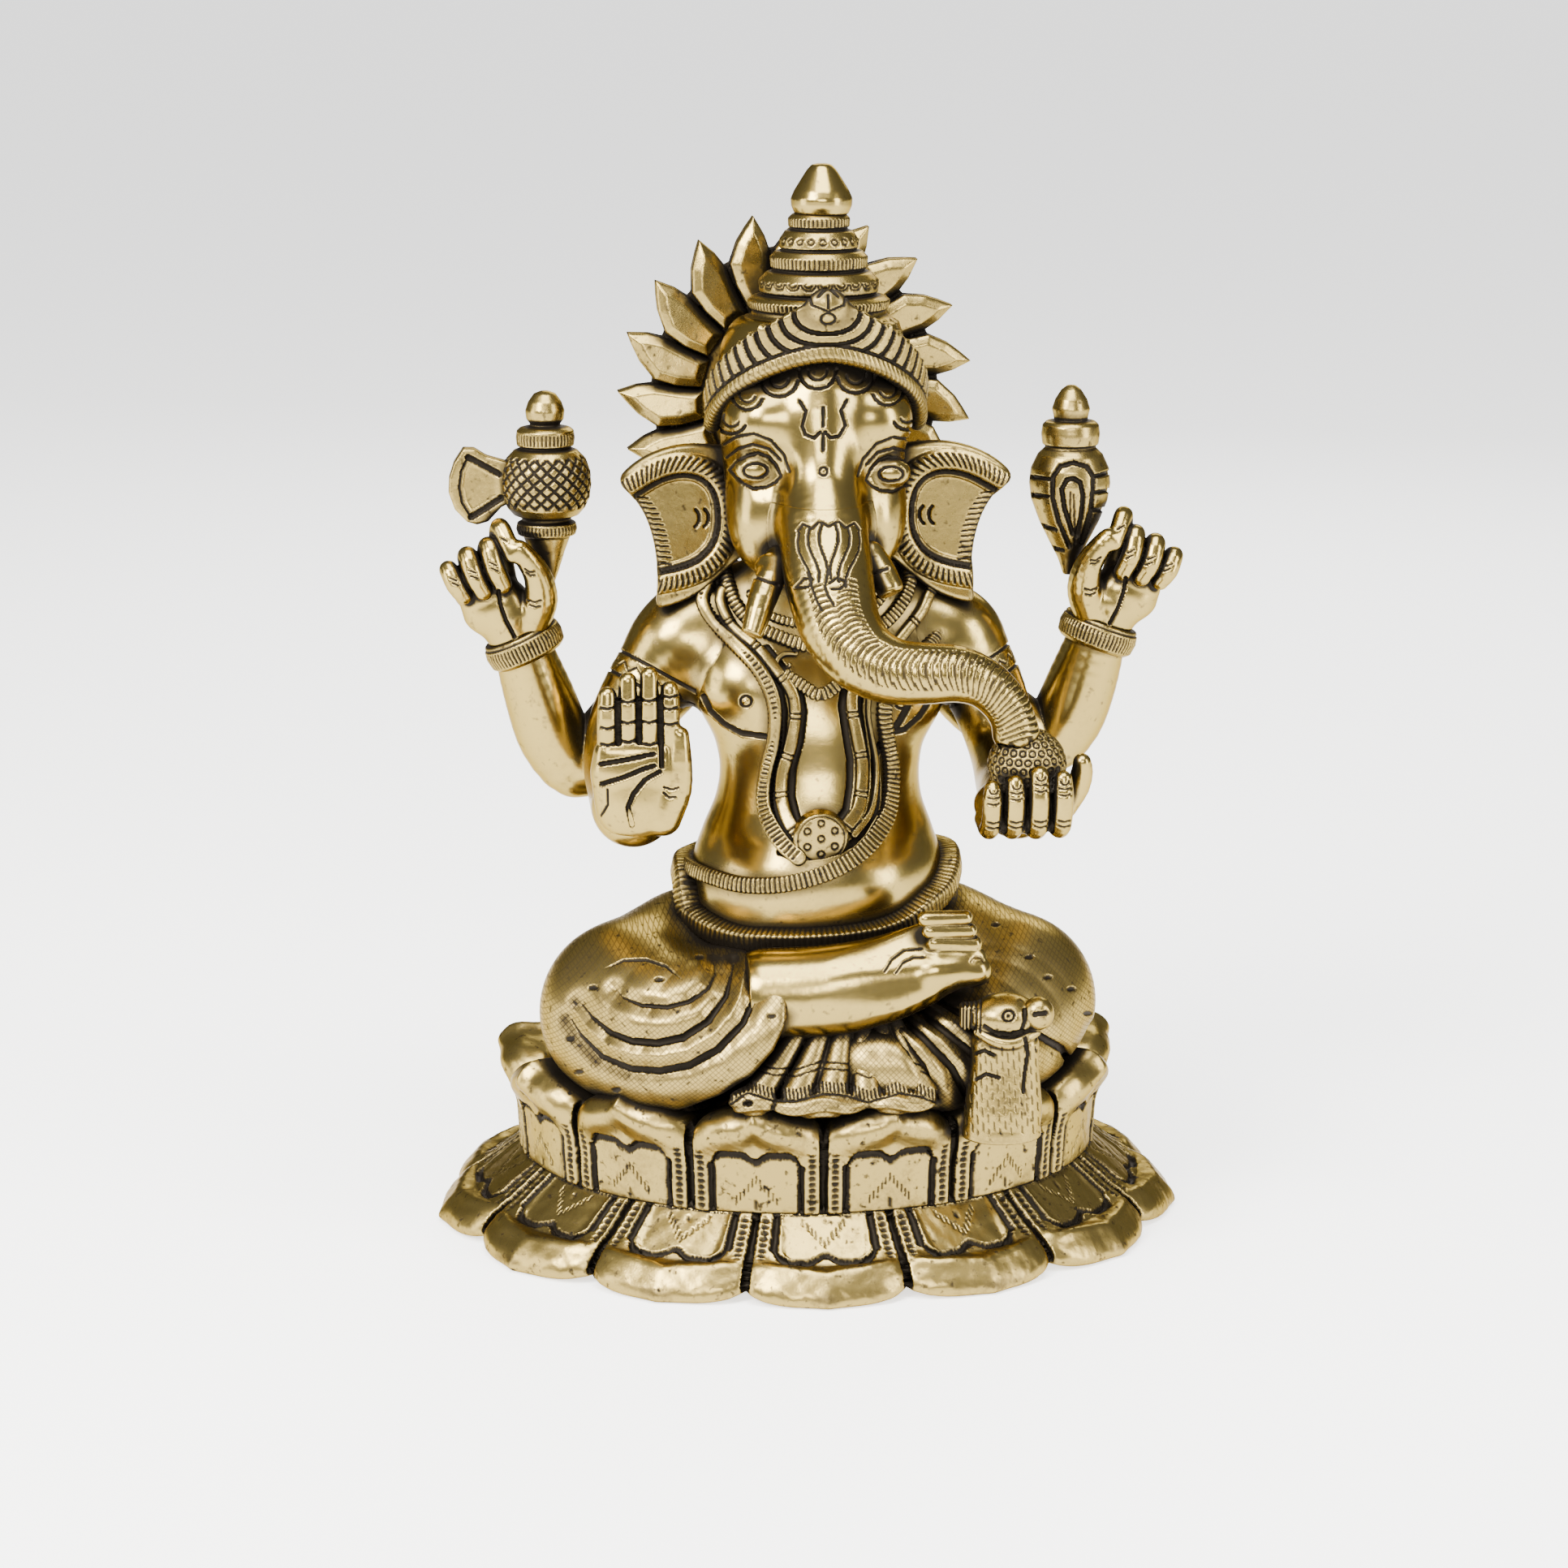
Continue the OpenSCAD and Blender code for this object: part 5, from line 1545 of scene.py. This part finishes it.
def mouse():
    body = blend(3.5, block((39.6, -57.4, 50), (7.6, 6.2, 11), 3.4),
                 tube([[39.4, -57.6, 46, 7.4], [39.2, -58.4, 40, 8.6], [39, -58.6, 34, 9.4]], 0.8, step=3))
    head = egg((39.4, -58.2, 64.0), (8.0, 6.8, 5.2))
    snout = egg((46.6, -61.8, 65.4), (3.7, 3.4, 3.9))
    ear = block((31.6, -57.6, 64), (2.4, 2.2, 3.0), 1.0)
    collar = tube([[33, -61.5, 61.2, 1.2], [36.5, -64, 59.6, 1.3], [41, -64.2, 59.2, 1.3],
                   [46, -62, 61, 1.2]], step=2)
    whole = blend(0.4, blend(0.5, blend(1.5, body, head), snout, ear), collar)

    def shape(p):
        # It sits on the upper tier and hangs down in front of it.
        return smax(whole(p), 44.2 - p[:, 2] - np.clip((-52 - p[:, 1]) * 3, 0, 9), 0.5)
    return shape


def mouse_chase(p, n):
    x, z = drawn(p, -63)
    front = n[:, 1] < 0.3
    from_eye = np.hypot(x - 39.6, z - 65.4)
    eye = np.maximum(groove(np.abs(from_eye - 1.35), 0.7, 0.7), groove(from_eye, 0.9, 0.6))
    fur = ticks(x + 0.06 * z, 1.3, 0.45, 0.21) * (np.sin(z * 1.9 + x * 2.3) > -0.2) * (z < 58) * (z > 37)
    ear = ticks(x, 1.0, 0.5, 0.45) * (x < 33.6) * (z > 61.5)
    limbs = [[(32, 56.6), (34, 57.2), (36.4, 56)], [(32.2, 50.4), (34.6, 51.6), (37.6, 50.6)],
             [(43.6, 60), (44.2, 56), (43.4, 50.4), (43.4, 47)], [(43.2, 66.8), (43.4, 64), (42.8, 62)],
             [(34, 63), (36.4, 61.4), (40, 60.9), (43, 61.6)]]
    mouth = [[(45.6, 65.5), (48.2, 65.8)]]
    drawing = engraved(x, z, (limbs, 1.0, 0.7, 0), (mouth, 1.5, 0.8, 0))[0]
    return np.maximum.reduce([eye, fur, ear, drawing]) * front, front


def make_mouse():
    casting("mouse", mouse(), (26, -69, 32), (52, -48, 71), "chased", mouse_chase)


PIECES += [make_arms, make_bracelets, make_rear_hands, make_raised_hand, make_cupped_hand, make_sweet,
           make_mace, make_axe, make_bud, make_mouse]


# ---------------------------------------------------------------- black wax, painted shade and brass

CREASE_REACH = ((0.7, 0.5), (1.6, 0.5))                # mm out from the skin, and its share
SHADE_REACH = ((2.2, 0.3), (4.5, 0.35), (8.0, 0.35))
BLACK_DEPTH = 0.45        # a line this deep is full of black wax, mm
HATCH = math.tau / 0.0013   # crosshatch on the cloth, radians per metre


def shade_grid():
    """A coarse distance grid of the whole statue, for finding the recesses between castings that get
    painted shade.
    """
    h = SHADE_VOXEL
    lo = np.min([c["lo"] for c in castings], 0) - 10
    hi = np.max([c["hi"] for c in castings], 0) + 10
    n = np.ceil((hi - lo) / h).astype(int) + 1
    grid = np.full(n, 9.0, np.float32)
    for c in castings:
        a = np.maximum(np.floor((c["lo"] - 7 - lo) / h).astype(int), 0)
        b = np.minimum(np.ceil((c["hi"] + 7 - lo) / h).astype(int) + 1, n)
        axes = [np.arange(a[i], b[i]) for i in range(3)]
        cells = np.stack(np.meshgrid(*axes, indexing="ij"), -1).reshape(-1, 3)
        d = sample(c["shape"], (lo + cells * h).astype(np.float32)).reshape([len(x) for x in axes])
        part = grid[a[0]:b[0], a[1]:b[1], a[2]:b[2]]
        np.minimum(part, d, out=part)
    return grid, lo, h


def read_grid(grid, lo, h, p):
    """The grid's value at points, blended from the eight cells round each."""
    q = np.clip((p - lo) / h, 0, np.array(grid.shape) - 1.001)
    i = q.astype(int)
    f = (q - i).astype(np.float32)
    out = 0
    for dx in (0, 1):
        for dy in (0, 1):
            for dz in (0, 1):
                wx = f[:, 0] if dx else 1 - f[:, 0]
                wy = f[:, 1] if dy else 1 - f[:, 1]
                wz = f[:, 2] if dz else 1 - f[:, 2]
                out = out + wx * wy * wz * grid[i[:, 0] + dx, i[:, 1] + dy, i[:, 2] + dz]
    return out


def wax_and_painted_shade(c, grid, lo, h):
    """Two measures from 0 to 1: the dark wax left in lines and creases, and the painted shade of recesses.
    """
    v, n = c["verts"], c["normals"]
    crease = 0
    for reach, weight in CREASE_REACH:
        crease = crease + weight * np.clip(1 - sample(c["shape"], v + n * reach) / reach, 0, 1)
    shade = 0
    for reach, weight in SHADE_REACH:
        shade = shade + weight * np.clip(1 - read_grid(grid, lo, h, v + n * reach) / reach, 0, 1)
    carved = np.clip(c["depth"] / BLACK_DEPTH, 0, 1)
    dark = np.clip(carved + np.clip(crease * 1.9 - 0.35, 0, 1), 0, 1)
    return dark, np.clip(shade, 0, 1)


def add_object(name, data):
    obj = bpy.data.objects.new(name, data)
    bpy.context.scene.collection.objects.link(obj)
    return obj


def build_mesh(c, grid, lo, h):
    dark, shade = wax_and_painted_shade(c, grid, lo, h)
    verts = (c["verts"] - c["normals"] * c["depth"][:, None]) * MM
    mesh = bpy.data.meshes.new(c["name"])
    mesh.vertices.add(len(verts))
    mesh.vertices.foreach_set("co", verts.astype(np.float32).ravel())
    tris = np.ascontiguousarray(c["tris"], np.int32)
    mesh.loops.add(tris.size)
    mesh.loops.foreach_set("vertex_index", tris.ravel())
    mesh.polygons.add(len(tris))
    mesh.polygons.foreach_set("loop_start", np.arange(0, tris.size, 3, dtype=np.int32))
    mesh.update(calc_edges=True)
    mesh.validate()
    mesh.shade_smooth()
    for key, values in (("dark", dark), ("shade", shade)):
        layer = mesh.attributes.new(key, "FLOAT", "POINT")
        layer.data.foreach_set("value", values.astype(np.float32))
    return add_object(c["name"], mesh)


def new_material(name):
    mat = bpy.data.materials.new(name)
    mat.use_nodes = True
    return mat, mat.node_tree, mat.node_tree.nodes["Principled BSDF"]


def object_place(tree):
    return tree.nodes.new("ShaderNodeTexCoord").outputs["Object"]


def noise(tree, place, scale, detail, roughness=0.5):
    n = tree.nodes.new("ShaderNodeTexNoise")
    for key, value in (("Scale", scale), ("Detail", detail), ("Roughness", roughness)):
        n.inputs[key].default_value = value
    tree.links.new(place, n.inputs["Vector"])
    return n.outputs[0]


def attribute(tree, name):
    n = tree.nodes.new("ShaderNodeAttribute")
    n.attribute_name = name
    return n.outputs["Fac"]


def ramp(tree, source, target, stops):
    """Sends a source through a ramp of greys or colours to a socket."""
    r = tree.nodes.new("ShaderNodeValToRGB")
    stops = [(place, (c, c, c, 1) if isinstance(c, float) else (*c, 1)) for place, c in stops]
    first, last = r.color_ramp.elements
    first.position, first.color = stops[0]
    last.position, last.color = stops[-1]
    for place, colour in stops[1:-1]:
        r.color_ramp.elements.new(place).color = colour
    tree.links.new(source, r.inputs[0])
    tree.links.new(r.outputs[0], target)


def maths(tree, operation, a, b=0.0, clamp=False):
    m = tree.nodes.new("ShaderNodeMath")
    m.operation = operation
    m.use_clamp = clamp
    for socket, value in zip(m.inputs, (a, b)):
        if isinstance(value, (int, float)):
            socket.default_value = value
        else:
            tree.links.new(value, socket)
    return m.outputs[0]


def above(tree, source, level, gain, clamp=False):
    """How far a value is above a level, times a gain."""
    return maths(tree, "MULTIPLY", maths(tree, "SUBTRACT", source, level), gain, clamp)


def crosshatch(tree, place):
    """Fine slanting lines both ways, as on woven cloth."""
    axes = tree.nodes.new("ShaderNodeSeparateXYZ")
    tree.links.new(place, axes.inputs[0])
    high = maths(tree, "MULTIPLY", axes.outputs[2], HATCH)
    wide = maths(tree, "MULTIPLY", axes.outputs[0], HATCH)
    one = maths(tree, "SINE", maths(tree, "ADD", high, wide))
    other = maths(tree, "SINE", maths(tree, "SUBTRACT", high, wide))
    return maths(tree, "SUBTRACT", maths(tree, "MAXIMUM", one, other), 0.55, True)


def brass(name, bright, warm, smooth, rough, grain, wear, woven=0.0):
    """Polished brass whose lines and creases keep a brown-black wax and whose recesses get painted shade,
    with a fine crosshatch if asked.
    """
    mat, tree, shader = new_material(name)
    place = object_place(tree)
    mottled = above(tree, noise(tree, place, 95.0, 5.0, 0.6), 0.5, 0.9)
    speck = noise(tree, place, 900.0, 3.0, 0.65)
    # The shade attribute is painted shade: it darkens the recesses as the wax darkens the lines.
    painted_recess_shade = above(tree, attribute(tree, "shade"), 0.28, 1.35, True)
    stain_and_painted_shade = maths(tree, "ADD", attribute(tree, "dark"), painted_recess_shade)
    grime = maths(tree, "MULTIPLY", maths(tree, "ADD", mottled, above(tree, speck, 0.5, 0.8)), wear)
    stain_and_painted_shade = maths(tree, "ADD", stain_and_painted_shade, grime, True)
    pores = above(tree, noise(tree, place, 520.0, 2.0), 0.62, 9.0 * wear, True)
    stain_and_painted_shade = maths(tree, "ADD", stain_and_painted_shade, pores, True)
    if woven:
        stain_and_painted_shade = maths(tree, "ADD", stain_and_painted_shade, maths(tree, "MULTIPLY", crosshatch(tree, place), woven), True)
    # Both the black wax and the painted shade run to the dark end of this ramp.
    ramp(tree, stain_and_painted_shade, shader.inputs["Base Color"],
         [(0.0, bright), (0.22, warm), (0.5, (0.050, 0.036, 0.014)), (0.78, (0.0045, 0.0032, 0.002))])
    ramp(tree, stain_and_painted_shade, shader.inputs["Roughness"], [(0.0, smooth), (0.3, rough), (0.8, 0.6)])
    ramp(tree, stain_and_painted_shade, shader.inputs["Metallic"], [(0.45, 1.0), (0.85, 0.55)])
    shader.inputs["Specular Tint"].default_value = (0.62, 0.54, 0.42, 1)
    bump = tree.nodes.new("ShaderNodeBump")
    bump.inputs["Strength"].default_value = grain
    bump.inputs["Distance"].default_value = 0.0004
    waves = noise(tree, place, 160.0, 2.0)
    height = maths(tree, "ADD", waves, maths(tree, "MULTIPLY", speck, 0.25))
    tree.links.new(height, bump.inputs["Height"])
    tree.links.new(bump.outputs[0], shader.inputs["Normal"])
    return mat


def steel():
    mat, tree, shader = new_material("zinc_steel")
    shader.inputs["Metallic"].default_value = 1.0
    grain = noise(tree, object_place(tree), 400.0, 4.0)
    ramp(tree, grain, shader.inputs["Base Color"], [(0.3, (0.42, 0.42, 0.44)), (0.7, (0.66, 0.66, 0.68))])
    ramp(tree, grain, shader.inputs["Roughness"], [(0.3, 0.28), (0.7, 0.42)])
    return mat


FINISHES = {   # material, bright and warm colour, two roughnesses, grain, wear, crosshatch
    "polished": ("polished_brass", (0.31, 0.226, 0.066), (0.175, 0.128, 0.044), 0.21, 0.30, 0.18, 0.18),
    "chased": ("chased_brass", (0.275, 0.20, 0.060), (0.145, 0.106, 0.037), 0.27, 0.40, 0.34, 0.42),
    "cast": ("pitted_brass", (0.28, 0.204, 0.061), (0.145, 0.106, 0.037), 0.28, 0.40, 0.4, 0.5),
    "cloth": ("woven_brass", (0.29, 0.211, 0.064), (0.16, 0.117, 0.041), 0.30, 0.42, 0.30, 0.42, 0.6),
}


def finish_castings():
    metals = {finish: brass(*look) for finish, look in FINISHES.items()}
    grid, lo, h = shade_grid()
    for c in castings:
        piece = build_mesh(c, grid, lo, h)
        piece.data.materials.append(metals[c["finish"]])
        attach(piece, "root")
        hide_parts(*c["nodes"])


def dress_fasteners():
    mat = steel()
    for name in ("tie_bolt", "tie_washer", "halo_screw"):
        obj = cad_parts[name]
        obj.data.materials.clear()
        obj.data.materials.append(mat)


# ---------------------------------------------------------------- stage

def make_floor():
    mesh = bpy.data.meshes.new("floor")
    s = 40.0              # half width, m
    mesh.from_pydata([(-s, -s, 0), (s, -s, 0), (s, s, 0), (-s, s, 0)], [], [(0, 1, 2, 3)])
    floor = add_object("floor", mesh)
    mat, tree, shader = new_material("pale_floor")
    grain = noise(tree, tree.nodes.new("ShaderNodeTexCoord").outputs["Generated"], 30.0, 3.0)
    ramp(tree, grain, shader.inputs["Base Color"], [(0.3, (0.86, 0.86, 0.85)), (0.7, (0.89, 0.89, 0.88))])
    shader.inputs["Roughness"].default_value = 0.7
    shader.inputs["Emission Color"].default_value = (1.0, 0.995, 0.98, 1)
    # The sweep glows as painted light, brighter behind the statue and dimmer in front of it, so the brass
    # has something dark to mirror.
    axes = tree.nodes.new("ShaderNodeSeparateXYZ")
    tree.links.new(object_place(tree), axes.inputs[0])
    back = above(tree, axes.outputs[1], -0.85, 1.6, True)
    glow = maths(tree, "ADD", maths(tree, "MULTIPLY", back, 1.15), 0.45)
    tree.links.new(glow, shader.inputs["Emission Strength"])
    mesh.materials.append(mat)


WARM = (1.0, 0.98, 0.95)
MIDDLE = Vector((0, 0, 0.12))
LAMPS = (   # name, place, width, height, power, colour
    ("key", (-0.75, -0.75, 0.95), 0.55, 0.55, 46, (1.0, 0.98, 0.94)),
    ("fill", (0.95, -0.65, 0.45), 0.35, 0.9, 17, WARM),
    ("side", (-1.2, -0.25, 0.35), 0.5, 0.8, 11, WARM),
    ("front", (-0.15, -1.6, 0.75), 0.8, 0.45, 22, WARM),
    ("top", (0.0, -0.35, 1.15), 0.8, 0.7, 30, (1, 1, 1)),
    ("back", (0.3, 1.0, 0.7), 0.8, 0.5, 8, (1, 1, 1)),
)


def make_light():
    world = bpy.data.worlds.new("studio")
    bpy.context.scene.world = world
    world.use_nodes = True
    sky = world.node_tree.nodes["Background"]
    sky.inputs["Color"].default_value = (0.93, 0.94, 1.0, 1)
    sky.inputs["Strength"].default_value = 0.32
    for name, place, width, height, power, colour in LAMPS:
        data = bpy.data.lights.new(name, "AREA")
        data.shape = "RECTANGLE"
        data.size = width
        data.size_y = height
        data.energy = power
        data.color = colour
        lamp = add_object(name, data)
        lamp.location = place
        lamp.rotation_euler = (MIDDLE - Vector(place)).to_track_quat("-Z", "Y").to_euler()


def make_camera():
    """The photograph's view: a little to the viewer's left of the front, looking down."""
    reach, height = 0.85, 0.309   # from the statue's axis and above the floor, m
    side = math.radians(-6.0)
    down = math.radians(13.45)
    off_axis = math.radians(0.385)   # the statue stands a little left of the picture's middle
    data = bpy.data.cameras.new("camera")
    data.sensor_width = 36.0
    data.lens = 83.1
    camera = add_object("camera", data)
    camera.location = (reach * math.sin(side), -reach * math.cos(side), height)
    camera.rotation_euler = (math.pi / 2 - down, 0, side + off_axis)
    bpy.context.scene.camera = camera


make_camera()
make_floor()
make_light()
for make in PIECES:
    make()
finish_castings()
dress_fasteners()
bpy.context.view_layer.update()
